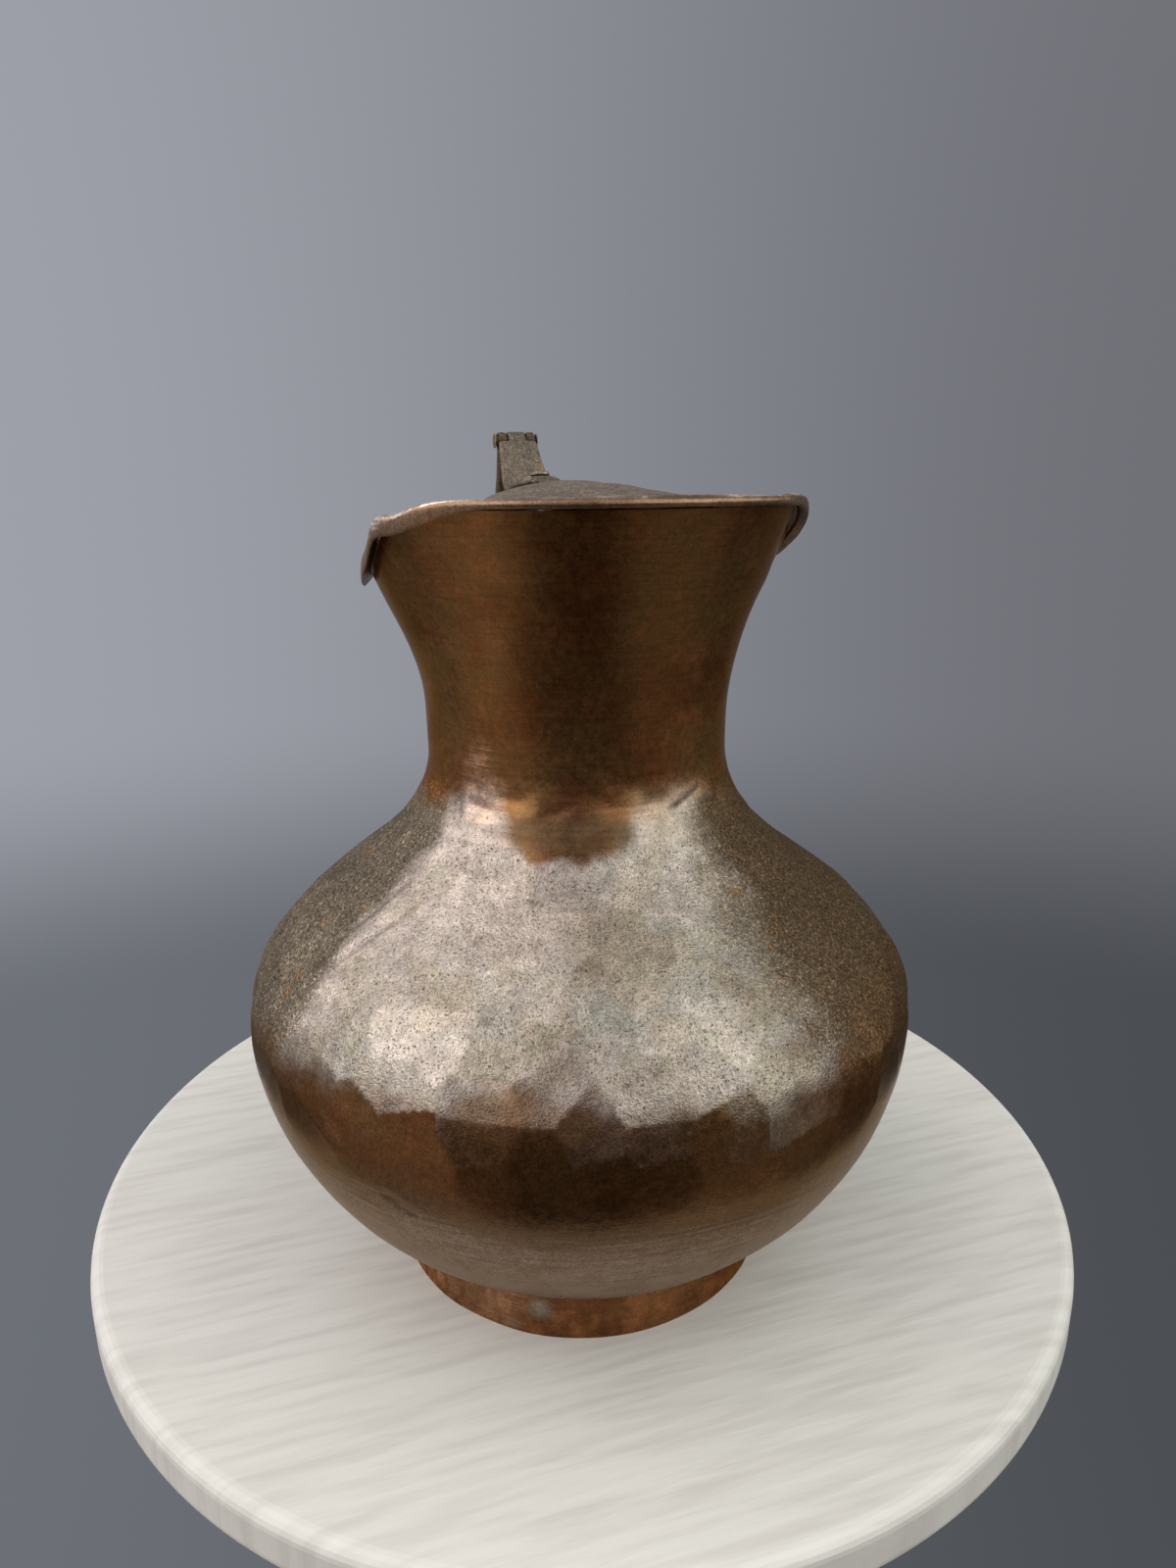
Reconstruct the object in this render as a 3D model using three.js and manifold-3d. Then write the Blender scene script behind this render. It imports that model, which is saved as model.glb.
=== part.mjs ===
import * as THREE from 'three';
import { mergeVertices } from 'three/addons/utils/BufferGeometryUtils.js';
import Module from 'manifold-3d';

// Lidded copper jug, in millimetres. Z is up, the spout faces -Y and the handle stands at +Y.
// The origin is on the jug's axis, in the plane that it stands on.

// Stock that the pieces are made from
const sheet = 1.4;                // wall of the belly and the neck
const footSheet = 1.6;            // wall of the foot ring
const lidSheet = 1.2;             // wall of the lid
const handleThickness = 2.5;      // forged strap of the handle
const lidStrapThickness = 1.6;    // strap from the lid to the hinge

// Clearances
const seatGap = 0.3;              // between a piece and the curved face that it lies on
const headGap = 0.3;              // under each rivet head
const holeGap = 0.15;             // round a rivet's shank
const pinGap = 0.08;              // round the hinge pin
const knuckleGap = 0.3;           // between neighbouring knuckles, and round them

// Foot ring, outside
const footRadius = 42.7;          // where it stands
const footTopRadius = 40.9;       // under the belly
const footHeight = 12.3;
const footSeat = 0.5;             // flat on the belly, past each side of the ring's top edge

// Belly, outside
const baseHeight = 5.8;           // underside of the bowl, on the axis
const baseFlat = 20;              // how flat the bowl's middle is
const bellySlope = 19;            // degrees from level, where the belly leaves the foot
const bellyLead = 16.8;           // how long it holds that slope
const bellyRadius = 73.8;
const bellyHeight = 62.7;         // level of the widest place
const bellyFullness = 21;         // roundness below it
const shoulderFullness = 21;      // roundness above it
const shoulderLead = 15.5;        // how long the shoulder runs straight into the seam

// Seam between belly and neck
const seamRadius = 36.5;
const seamHeight = 106.8;
const seamSlope = 60.7;           // degrees from level

// Neck, outside
const neckLead = 2.6;             // how long the neck holds the seam's slope
const waistRadius = 32;
const waistHeight = 120.5;
const waistBelow = 7.3;           // roundness of the waist below and above its narrowest place
const waistAbove = 20.6;
const mouthSlope = { front: 62, low: 67, back: 64 };      // degrees from level, at the edge
const mouthLead = 13.2;           // how long the flare holds that slope

// Mouth: a saddle, high at the spout and the back, low at two places beside the handle
const mouthRadius = { front: 46, low: 41.2, back: 44 };
const mouthHeight = { front: 169.3, low: 154.7, back: 167 };
const mouthLevel = 40;            // degrees from the spout over which the edge runs level
const mouthLow = 105;             // degrees from the spout to the lowest place

// Lid
const beadRadius = 1.15;          // the lid's rolled edge
const beadOverhang = { front: 2, low: 2.7, back: 1.9 };   // how far it stands out past the neck
const crownHeight = 174.3;        // top of the arched lid
const crownBack = 12;             // how far behind the jug's axis that is
const archRadius = 56;            // bend of the lid across the jug
const spineRadius = 480;          // and from front to back
const lidFullness = 2.5;          // how late the arch runs out into the saddle of its edge

// Hinge
const knuckleRadius = 2.2;
const pinRadius = 1.1;
const pinHead = { radius: 1.75, height: 0.7 };
const peenEase = 0.35;            // bevel of a peened end
const hingeWidth = 9.4;
const middleKnuckle = 4.2;        // width of the lid's knuckle
const hingeRise = 16.4;           // hinge axis above the neck's back edge
const postGap = 0.5;              // between the lid's roll and the handle's post
const postFoot = 0.6;             // how far the straight post runs below the neck's edge

// Strap on the lid
const strapRun = 10;              // level distance from the strap's bend to the hinge axis
const plateLength = 15;           // part that lies on the lid
const bendRoom = 1.8;             // end of that part, where the strap lifts off into its bend
const bendLift = 1;               // how high the bend stands over the lid
const plateWidth = 11.5;
const plateTip = 6;               // width of its front end
const plateTaper = 4.4;           // length over which it widens

// Handle
const padDrop = 8;                // from the neck's edge to the part that lies on the neck
const padLength = 12;
const padWidth = 12;
const archBend = { run: 5.5, drop: 8.6 };     // from the end of that part out to the arch
const gripReach = 71;             // centre line of the grip, from the jug's axis
const gripBend = { run: 10, drop: 17 };       // from the arch down to the grip
const gripTuck = { run: 2.4, rise: 19 };      // grip's lower end: drawn in, and above the leaf
const leafBend = { run: 1.6, rise: 6.5 };     // bend onto the leaf: out from it, and above it
const gripWidth = 11;
const gripTaper = 15;             // length over which the width changes at each end of the grip
const leafDrop = 29;              // along the shoulder, from the seam to the leaf
const leafLength = 15;
const leafNeck = 9;               // width where the leaf begins
const leafWidth = 16;
const leafBroad = 6;              // from there to its widest place
const leafTip = 3.5;
const strapBevel = 0.28;          // bevel of a strap's corners, as a share of its thickness

// Rivets
const shankRadius = 1.2;
const rivetHead = { radius: 2.35, rim: 0.3, height: 1.2 };
const rivetTail = { radius: 2, height: 0.7 };
const rivetInset = 3.1;           // from the end of the part riveted to the rivet's middle
const leafPitch = 6;              // between the two rivets of the leaf

// Fineness of the mesh
const sides = 48;                 // round the jug
const smallSides = 12;            // round rivets, holes and knuckles
const bowlSteps = 4;
const lowerSteps = { outside: 9, inside: 7 };
const shoulderSteps = { outside: 10, inside: 8 };
const neckFootSteps = 5;
const flareSteps = { outside: 9, inside: 8 };
const lidSteps = 8;
const rollSteps = 8;
const domeSteps = 3;
const handleStations = 46;
const lidStrapStations = 20;

const wasm = await Module();
wasm.setup();

const rad = THREE.MathUtils.degToRad;
const v2 = (x, y) => new THREE.Vector2(x, y);
const v3 = (x, y, z) => new THREE.Vector3(x, y, z);

// One closed mesh with shared vertices, no collapsed triangles, and its faces pointing out.
function closedMesh(geometry) {
  const bare = new THREE.BufferGeometry();
  bare.setAttribute('position', geometry.getAttribute('position').clone());
  if (geometry.index) bare.setIndex(geometry.index.clone());
  const merged = mergeVertices(bare, 1e-4);
  const position = merged.getAttribute('position');
  const corner = (i) => new THREE.Vector3().fromBufferAttribute(position, i);
  const index = [];
  let volume = 0;
  for (let i = 0; i < merged.index.count; i += 3) {
    const [a, b, c] = [0, 1, 2].map((k) => merged.index.getX(i + k));
    if (a === b || b === c || c === a) continue;
    index.push(a, b, c);
    volume += corner(a).dot(corner(b).cross(corner(c)));
  }
  if (volume < 0) index.reverse();
  merged.setIndex(index);
  return merged;
}

// A solid for joining and cutting, and back again.
function toSolid(geometry) {
  const mesh = closedMesh(geometry);
  const vertProperties = new Float32Array(mesh.getAttribute('position').array);
  const triVerts = new Uint32Array(mesh.index.array);
  return new wasm.Manifold(new wasm.Mesh({ numProp: 3, vertProperties, triVerts }));
}

function toGeometry(solid) {
  const mesh = solid.getMesh();
  const geometry = new THREE.BufferGeometry();
  geometry.setAttribute('position', new THREE.BufferAttribute(mesh.vertProperties, 3));
  geometry.setIndex(new THREE.BufferAttribute(mesh.triVerts, 1));
  return geometry;
}

// Skin over a row of rings that all have the same number of points. A loop joins the last ring to
// the first; otherwise each end closes on a point.
function skin(rings, ends = null) {
  const points = rings.flat();
  const size = rings[0].length;
  const index = [];
  const spans = ends ? rings.length - 1 : rings.length;
  for (let i = 0; i < spans; i++) {
    const here = i * size;
    const next = ((i + 1) % rings.length) * size;
    for (let j = 0; j < size; j++) {
      const k = (j + 1) % size;
      index.push(here + j, next + j, next + k, here + j, next + k, here + k);
    }
  }
  if (ends) {
    const first = points.length;
    const last = first + 1;
    const lastRing = (rings.length - 1) * size;
    points.push(...ends);
    for (let j = 0; j < size; j++) {
      const k = (j + 1) % size;
      index.push(first, j, k);
      index.push(last, lastRing + k, lastRing + j);
    }
  }
  const geometry = new THREE.BufferGeometry().setFromPoints(points);
  geometry.setIndex(index);
  return closedMesh(geometry);
}

// Outline turned about the jug's axis. Its points are (radius, height).
function turned(outline, segments = sides) {
  return closedMesh(new THREE.LatheGeometry(outline, segments).rotateX(Math.PI / 2));
}

// Points of a curve, and the same points moved to its left by an offset.
function offsetPoints(curve, count, offset) {
  return Array.from({ length: count + 1 }, (_, i) => {
    const point = curve.getPoint(i / count);
    const tangent = curve.getTangent(i / count);
    return point.add(v2(-tangent.y, tangent.x).multiplyScalar(offset));
  });
}

const slope = (degrees, length) => v2(Math.cos(rad(degrees)), Math.sin(rad(degrees))).multiplyScalar(length);

// The seam is cut level through both sheets, so the cut is wider than the sheet.
const seam = v2(seamRadius, seamHeight);
const seamInside = v2(seamRadius - sheet / Math.sin(rad(seamSlope)), seamHeight);

// Outlines of the belly, from the axis outward and up.
const seatInner = v2(footTopRadius - footSheet - footSeat, footHeight);
const seatOuter = v2(footTopRadius + footSeat, footHeight);
const bowlCurve = new THREE.CubicBezierCurve(
  v2(0, baseHeight),
  v2(baseFlat, baseHeight),
  seatInner.clone().sub(slope(bellySlope, bellyLead / 2)),
  seatInner,
);
const lowerCurve = new THREE.CubicBezierCurve(
  seatOuter,
  seatOuter.clone().add(slope(bellySlope, bellyLead)),
  v2(bellyRadius, bellyHeight - bellyFullness),
  v2(bellyRadius, bellyHeight),
);
const shoulderCurve = new THREE.CubicBezierCurve(
  v2(bellyRadius, bellyHeight),
  v2(bellyRadius, bellyHeight + shoulderFullness),
  seam.clone().add(slope(-seamSlope, shoulderLead)),
  seam,
);

function bellyGeometry() {
  const outside = [
    ...offsetPoints(bowlCurve, bowlSteps, 0),
    ...offsetPoints(lowerCurve, lowerSteps.outside, 0),
    ...offsetPoints(shoulderCurve, shoulderSteps.outside, 0).slice(1),
  ];
  const inside = [
    ...offsetPoints(bowlCurve, bowlSteps, sheet).slice(0, -1),
    ...offsetPoints(lowerCurve, lowerSteps.inside, sheet),
    ...offsetPoints(shoulderCurve, shoulderSteps.inside, sheet).slice(1, -1),
    seamInside,
  ];
  return turned([...outside, ...inside.reverse()]);
}

// The ring's closed outline begins and ends on the same point.
function footGeometry() {
  const outline = [
    v2(footRadius, 0),
    v2(footTopRadius, footHeight),
    v2(footTopRadius - footSheet, footHeight),
    v2(footRadius - footSheet, 0),
    v2(footRadius, 0),
  ];
  return turned(outline);
}

// Value of a saddle-shaped quantity at an angle from the spout.
function saddle({ front, low, back }, angle) {
  const degrees = Math.abs(THREE.MathUtils.radToDeg(angle));
  const end = degrees < mouthLow ? front : back;
  const from = degrees < mouthLow ? mouthLevel : 180;
  const share = THREE.MathUtils.clamp((degrees - mouthLow) / (from - mouthLow), 0, 1);
  return low + (end - low) * (1 - Math.cos(Math.PI * share)) / 2;
}

// Angles from the spout, once round, and a point at an angle, a radius and a height.
const angles = Array.from({ length: sides }, (_, i) => -Math.PI + (2 * Math.PI * i) / sides);
const around = (angle, point) => v3(point.x * Math.sin(angle), -point.x * Math.cos(angle), point.y);

// The neck's edge, and the two curves of its outside, at an angle from the spout.
const neckEdge = (angle) => v2(saddle(mouthRadius, angle), saddle(mouthHeight, angle));
const neckFoot = new THREE.CubicBezierCurve(
  seam,
  seam.clone().add(slope(180 - seamSlope, neckLead)),
  v2(waistRadius, waistHeight - waistBelow),
  v2(waistRadius, waistHeight),
);
function neckFlare(angle) {
  const edge = neckEdge(angle);
  return new THREE.CubicBezierCurve(
    v2(waistRadius, waistHeight),
    v2(waistRadius, waistHeight + waistAbove),
    edge.clone().sub(slope(saddle(mouthSlope, angle), mouthLead)),
    edge,
  );
}

function neckGeometry() {
  const columns = angles.map((angle) => {
    const flare = neckFlare(angle);
    const edge = neckEdge(angle);
    const edgeWidth = sheet / Math.sin(rad(saddle(mouthSlope, angle)));
    const outside = [
      ...offsetPoints(neckFoot, neckFootSteps, 0),
      ...offsetPoints(flare, flareSteps.outside, 0).slice(1),
    ];
    const inside = [
      seamInside,
      ...offsetPoints(neckFoot, neckFootSteps, sheet).slice(1),
      ...offsetPoints(flare, flareSteps.inside, sheet).slice(1, -1),
      v2(edge.x - edgeWidth, edge.y),
    ];
    return [...outside, ...inside.reverse()].map((point) => around(angle, point));
  });
  return skin(columns);
}

// Middle of the lid's rolled edge, and the lid's top as a height over any place.
function beadMiddle(angle) {
  const edge = neckEdge(angle);
  return v2(edge.x + saddle(beadOverhang, angle) - beadRadius, edge.y + seatGap + beadRadius);
}

function lidTop(angle, share) {
  const middle = beadMiddle(angle);
  const { x, y } = around(angle, v2(middle.x * share, 0));
  const arch = crownHeight - x ** 2 / (2 * archRadius) - (y - crownBack) ** 2 / (2 * spineRadius);
  return THREE.MathUtils.lerp(arch, middle.y + beadRadius, share ** lidFullness);
}

function lidTopAt(x, y) {
  const angle = Math.atan2(x, -y);
  return lidTop(angle, Math.hypot(x, y) / beadMiddle(angle).x);
}

function lidGeometry() {
  const columns = angles.map((angle) => {
    const middle = beadMiddle(angle);
    const column = [];
    for (let i = 1; i < lidSteps; i++) {
      const share = i / lidSteps;
      column.push(v2(middle.x * share, lidTop(angle, share)));
    }
    for (let i = 0; i <= rollSteps; i++) {
      const turn = Math.PI / 2 - (1.5 * Math.PI * i) / rollSteps;
      column.push(v2(middle.x + beadRadius * Math.cos(turn), middle.y + beadRadius * Math.sin(turn)));
    }
    for (let i = lidSteps - 1; i > 0; i--) {
      const share = i / lidSteps;
      column.push(v2(middle.x * share, lidTop(angle, share) - lidSheet));
    }
    return column.map((point) => around(angle, point));
  });
  const rings = columns[0].map((_, row) => columns.map((column) => column[row]));
  return skin(rings, [v3(0, 0, lidTop(0, 0)), v3(0, 0, lidTop(0, 0) - lidSheet)]);
}

// Hinge axis, clear of the lid's rolled edge at the back.
const backBead = beadMiddle(Math.PI).x + beadRadius;
const hinge = v3(0, backBead + postGap + handleThickness / 2, mouthHeight.back + hingeRise);

// A cylinder on the hinge axis between two places along it.
function hingeCylinder(radius, from, to) {
  const cylinder = new THREE.CylinderGeometry(radius, radius, to - from, smallSides).rotateZ(Math.PI / 2);
  return toSolid(cylinder.translate((from + to) / 2, hinge.y, hinge.z));
}

// A strap along a route in the plane of the spout and handle: across it the section is a rectangle
// with bevelled corners, and fit gives each of its points its last place.
function strapGeometry(route, stations, widthAt, thickness, fit) {
  const ease = thickness * strapBevel;
  const rings = [];
  for (let i = 0; i <= stations; i++) {
    const share = i / stations;
    const middle = route.getPointAt(share);
    const along = route.getTangentAt(share);
    const out = v3(0, -along.z, along.y);
    const half = widthAt(share) / 2;
    const thick = thickness / 2;
    const section = [
      [half, thick - ease],
      [half - ease, thick],
      [0, thick],
      [ease - half, thick],
      [-half, thick - ease],
      [-half, ease - thick],
      [ease - half, -thick],
      [0, -thick],
      [half - ease, -thick],
      [half, ease - thick],
    ];
    rings.push(section.map(([x, h]) => fit(v3(x, 0, 0).add(middle).addScaledVector(out, h), middle)));
  }
  const centre = (ring) => ring.reduce((sum, point) => sum.add(point), v3(0, 0, 0)).divideScalar(ring.length);
  return skin(rings, [centre(rings[0]), centre(rings.at(-1))]);
}

// Width along a strap of a length, eased between places given as [distance, width].
function widths(length, places) {
  return (share) => {
    const distance = share * length;
    const found = places.findIndex(([at]) => at >= distance);
    const next = found < 0 ? places.length - 1 : Math.max(1, found);
    const [from, narrow] = places[next - 1];
    const [to, wide] = places[next];
    return THREE.MathUtils.lerp(narrow, wide, THREE.MathUtils.smoothstep(distance, from, to));
  };
}

// Place on a curve of (radius, height) at the jug's back, a distance along it from its end, with
// the direction that points out of the wall.
function placeAtBack(curve, distanceFromEnd) {
  const share = 1 - distanceFromEnd / curve.getLength();
  const point = curve.getPointAt(share);
  const tangent = curve.getTangentAt(share);
  return { at: v3(0, point.x, point.y), out: v3(0, tangent.y, -tangent.x) };
}

const onWall = (place, height) => place.at.clone().addScaledVector(place.out, height);

const backFlare = neckFlare(Math.PI);
const padPlace = (share) => placeAtBack(backFlare, padDrop + padLength * share);
const leafPlace = (share) => placeAtBack(shoulderCurve, leafDrop + leafLength * share);

// Middle of a quarter bend between two places, which leaves the first one upright or level.
function bendMiddle(from, to, upright) {
  const [level, rise] = upright ? [1 - Math.SQRT1_2, Math.SQRT1_2] : [Math.SQRT1_2, 1 - Math.SQRT1_2];
  return v3(0, from.y + (to.y - from.y) * level, from.z + (to.z - from.z) * rise);
}

const thirds = [0, 1 / 3, 2 / 3, 1];

function handleRoute() {
  const lift = seatGap + handleThickness / 2;
  const pad = thirds.map((share) => onWall(padPlace(share), lift));
  const leaf = thirds.map((share) => onWall(leafPlace(share), lift));
  const postEnd = v3(0, hinge.y, mouthHeight.back - postFoot);
  const padEnd = pad.at(-1);
  const archStart = v3(0, padEnd.y + archBend.run, padEnd.z - archBend.drop);
  const archEnd = v3(0, gripReach - gripBend.run, archStart.z);
  const grip = v3(0, gripReach, archEnd.z - gripBend.drop);
  return new THREE.CatmullRomCurve3([
    hinge,
    hinge.clone().lerp(postEnd, 0.5),
    postEnd,
    ...pad,
    bendMiddle(padEnd, archStart, true),
    archStart,
    archEnd,
    bendMiddle(archEnd, grip, false),
    grip,
    v3(0, gripReach - gripTuck.run, leaf[0].z + gripTuck.rise),
    v3(0, leaf[0].y + leafBend.run, leaf[0].z + leafBend.rise),
    ...leaf,
  ]);
}

function handleGeometry() {
  const route = handleRoute();
  const length = route.getLength();
  const padStart = hingeRise + padDrop;
  const padEnd = padStart + padLength;
  const leafStart = length - leafLength;
  const width = widths(length, [
    [0, hingeWidth],
    [padStart, padWidth],
    [padEnd, padWidth],
    [padEnd + gripTaper, gripWidth],
    [leafStart - gripTaper, gripWidth],
    [leafStart, leafNeck],
    [leafStart + leafBroad, leafWidth],
    [length, leafTip],
  ]);
  const wrap = (point) => v3(point.x, Math.sqrt(point.y ** 2 - point.x ** 2), point.z);
  const strap = strapGeometry(route, handleStations, width, handleThickness, wrap);
  const half = hingeWidth / 2;
  const slot = middleKnuckle / 2 + knuckleGap;
  return toSolid(strap)
    .add(hingeCylinder(knuckleRadius, -half, half))
    .subtract(hingeCylinder(knuckleRadius + knuckleGap, -slot, slot))
    .subtract(hingeCylinder(pinRadius + pinGap, -hingeWidth, hingeWidth));
}

// The lid's strap lies on the ridge, bends up and runs into its knuckle from above.
const plateBack = hinge.y - strapRun;
const plateFront = plateBack - plateLength;

function lidStrapRoute() {
  const lift = seatGap + lidStrapThickness / 2;
  const plate = thirds.map((share) => {
    const y = plateFront + (plateLength - bendRoom) * share;
    return v3(0, y, lidTopAt(0, y) + lift);
  });
  const bend = v3(0, plateBack, lidTopAt(0, plateBack) + lift + bendLift);
  const rise = hinge.clone().sub(bend).normalize();
  const above = v3(0, -rise.z, rise.y).multiplyScalar(knuckleRadius - lidStrapThickness / 2);
  const end = hinge.clone().add(above);
  return new THREE.CatmullRomCurve3([...plate, bend, bend.clone().lerp(end, 0.5), end]);
}

function lidStrapGeometry() {
  const route = lidStrapRoute();
  const length = route.getLength();
  const width = widths(length, [
    [0, plateTip],
    [plateTaper, plateWidth],
    [plateLength, plateWidth],
    [length, hingeWidth],
  ]);
  const drape = (point, middle) => {
    const fade = THREE.MathUtils.clamp((hinge.y - middle.y) / strapRun, 0, 1);
    const drop = lidTopAt(point.x, middle.y) - lidTopAt(0, middle.y);
    return v3(point.x, point.y, point.z + drop * fade);
  };
  const strap = strapGeometry(route, lidStrapStations, width, lidStrapThickness, drape);
  const half = hingeWidth / 2;
  const inner = middleKnuckle / 2;
  return toSolid(strap)
    .add(hingeCylinder(knuckleRadius, -inner, inner))
    .subtract(hingeCylinder(knuckleRadius + knuckleGap, -hingeWidth, -inner))
    .subtract(hingeCylinder(knuckleRadius + knuckleGap, inner, hingeWidth))
    .subtract(hingeCylinder(pinRadius + pinGap, -half, half));
}

// Hinge pin along X, peened at both ends.
function pinGeometry() {
  const seat = hingeWidth / 2 + headGap;
  const end = seat + pinHead.height;
  const outline = [
    v2(0, -end),
    v2(pinHead.radius - peenEase, -end),
    v2(pinHead.radius, -end + peenEase),
    v2(pinHead.radius, -seat),
    v2(pinRadius, -seat),
    v2(pinRadius, seat),
    v2(pinHead.radius, seat),
    v2(pinHead.radius, end - peenEase),
    v2(pinHead.radius - peenEase, end),
    v2(0, end),
  ];
  return turned(outline, smallSides).rotateY(Math.PI / 2);
}

// Rivet along Z. Its origin is on the outside of the wall, its head above the strap and its tail
// inside the wall.
function rivetGeometry(wall, strap) {
  const headSeat = seatGap + strap + headGap;
  const tailSeat = -wall - headGap;
  const dome = Array.from({ length: domeSteps }, (_, i) => {
    const turn = ((Math.PI / 2) * i) / domeSteps;
    const rise = rivetHead.rim + (rivetHead.height - rivetHead.rim) * Math.sin(turn);
    return v2(rivetHead.radius * Math.cos(turn), headSeat + rise);
  });
  const outline = [
    v2(0, tailSeat - rivetTail.height),
    v2(rivetTail.radius - peenEase, tailSeat - rivetTail.height),
    v2(rivetTail.radius, tailSeat - rivetTail.height + peenEase),
    v2(rivetTail.radius, tailSeat),
    v2(shankRadius, tailSeat),
    v2(shankRadius, headSeat),
    v2(rivetHead.radius, headSeat),
    ...dome,
    v2(0, headSeat + rivetHead.height),
  ];
  return turned(outline, smallSides);
}

// Rivets: each has a place on a wall, and the hole that it needs in the wall and the strap.
function lidPlace(y) {
  const step = 0.5;
  const along = v3(0, 2 * step, lidTopAt(0, y + step) - lidTopAt(0, y - step)).normalize();
  return { at: v3(0, y, lidTopAt(0, y)), out: v3(0, -along.z, along.y) };
}

const padInset = rivetInset / padLength;
const leafInset = rivetInset / leafLength;
const throughHandle = { wall: sheet, strap: handleThickness };
const throughLid = { wall: lidSheet, strap: lidStrapThickness };
const rivets = [
  { name: 'handle_rivet_upper_1', place: padPlace(padInset), ...throughHandle },
  { name: 'handle_rivet_upper_2', place: padPlace(1 - padInset), ...throughHandle },
  { name: 'handle_rivet_lower_1', place: leafPlace(leafInset), ...throughHandle },
  { name: 'handle_rivet_lower_2', place: leafPlace(leafInset + leafPitch / leafLength), ...throughHandle },
  { name: 'lid_rivet_1', place: lidPlace(plateFront + rivetInset), ...throughLid },
  { name: 'lid_rivet_2', place: lidPlace(plateBack - bendRoom - rivetInset), ...throughLid },
];

const turnTo = (out) => new THREE.Quaternion().setFromUnitVectors(v3(0, 0, 1), out);

function drilled(solid, fittings) {
  return fittings.reduce((rest, { place, wall, strap }) => {
    const length = 2 * (wall + seatGap + strap + headGap);
    const radius = shankRadius + holeGap;
    const drill = new THREE.CylinderGeometry(radius, radius, length, smallSides);
    drill.rotateX(Math.PI / 2).applyQuaternion(turnTo(place.out)).translate(...place.at);
    return rest.subtract(toSolid(drill));
  }, solid);
}

const fittingsOf = (start) => rivets.filter(({ name }) => name.startsWith(start));
const upper = fittingsOf('handle_rivet_upper');
const lower = fittingsOf('handle_rivet_lower');
const onLid = fittingsOf('lid_rivet');

// Finishes
const finish = (color, roughness, metalness) => () =>
  new THREE.MeshStandardMaterial({ color, roughness, metalness });
const bellyCopper = finish(0x6f5342, 0.42, 0.85);
const neckCopper = finish(0x5a3420, 0.38, 0.9);
const footCopper = finish(0x7a4326, 0.45, 0.85);
const lidCopper = finish(0x6a5245, 0.55, 0.75);
const strapCopper = finish(0x564a42, 0.6, 0.7);
const pinIron = finish(0x3d3833, 0.6, 0.8);
const rivetCopper = finish(0x6d4a38, 0.5, 0.8);

const jug = new THREE.Group();

function addPiece(name, geometry, material) {
  const mesh = new THREE.Mesh(geometry, material());
  mesh.name = name;
  jug.add(mesh);
  return mesh;
}

addPiece('belly', toGeometry(drilled(toSolid(bellyGeometry()), lower)), bellyCopper);
addPiece('neck', toGeometry(drilled(toSolid(neckGeometry()), upper)), neckCopper);
addPiece('foot_ring', footGeometry(), footCopper);
addPiece('lid', toGeometry(drilled(toSolid(lidGeometry()), onLid)), lidCopper);
addPiece('lid_strap', toGeometry(drilled(lidStrapGeometry(), onLid)), strapCopper);
addPiece('handle', toGeometry(drilled(handleGeometry(), [...upper, ...lower])), strapCopper);
addPiece('hinge_pin', pinGeometry(), pinIron).position.copy(hinge);
for (const { name, place, wall, strap } of rivets) {
  const mesh = addPiece(name, rivetGeometry(wall, strap), rivetCopper);
  mesh.position.copy(place.at);
  mesh.quaternion.copy(turnTo(place.out));
}

export default jug;
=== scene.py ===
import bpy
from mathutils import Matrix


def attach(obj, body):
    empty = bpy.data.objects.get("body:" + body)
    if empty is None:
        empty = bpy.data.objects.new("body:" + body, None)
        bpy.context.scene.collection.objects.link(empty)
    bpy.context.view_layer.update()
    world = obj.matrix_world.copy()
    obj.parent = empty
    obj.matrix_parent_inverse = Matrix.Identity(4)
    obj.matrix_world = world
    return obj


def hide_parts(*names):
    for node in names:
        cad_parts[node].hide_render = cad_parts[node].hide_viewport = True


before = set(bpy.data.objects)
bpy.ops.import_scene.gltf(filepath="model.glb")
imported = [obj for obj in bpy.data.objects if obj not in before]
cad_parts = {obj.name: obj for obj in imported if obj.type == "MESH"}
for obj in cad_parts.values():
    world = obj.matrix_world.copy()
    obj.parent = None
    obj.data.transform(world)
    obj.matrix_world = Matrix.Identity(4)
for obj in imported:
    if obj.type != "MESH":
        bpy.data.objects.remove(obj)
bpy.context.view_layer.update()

import math

import bmesh
import bpy
import numpy as np
from mathutils import Matrix, Vector, kdtree

# Lengths in the dictionaries are millimetres and angles are degrees from the spout, towards +X.
# A mesh is turned into metres when it is made.
mm = 0.001

print("camera and stage")

photoCamera = {
    "focalPixels": 1080.0,   # in a picture of 1200 x 1600
    "pictureHeight": 1600.0,
    "centreShift": 10.8,     # pixels from the picture's middle to the lens axis
    "azimuth": -17.5,
    "pitch": 16.1,           # looking down
    "roll": 0.55,
    "distance": 225.0,       # level, from the jug's axis
    "height": 174.5,
    "sensor": 36.0,
    "clipStart": 5.0,
}


def linked(name, data):
    piece = bpy.data.objects.new(name, data)
    bpy.context.scene.collection.objects.link(piece)
    return piece


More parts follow.
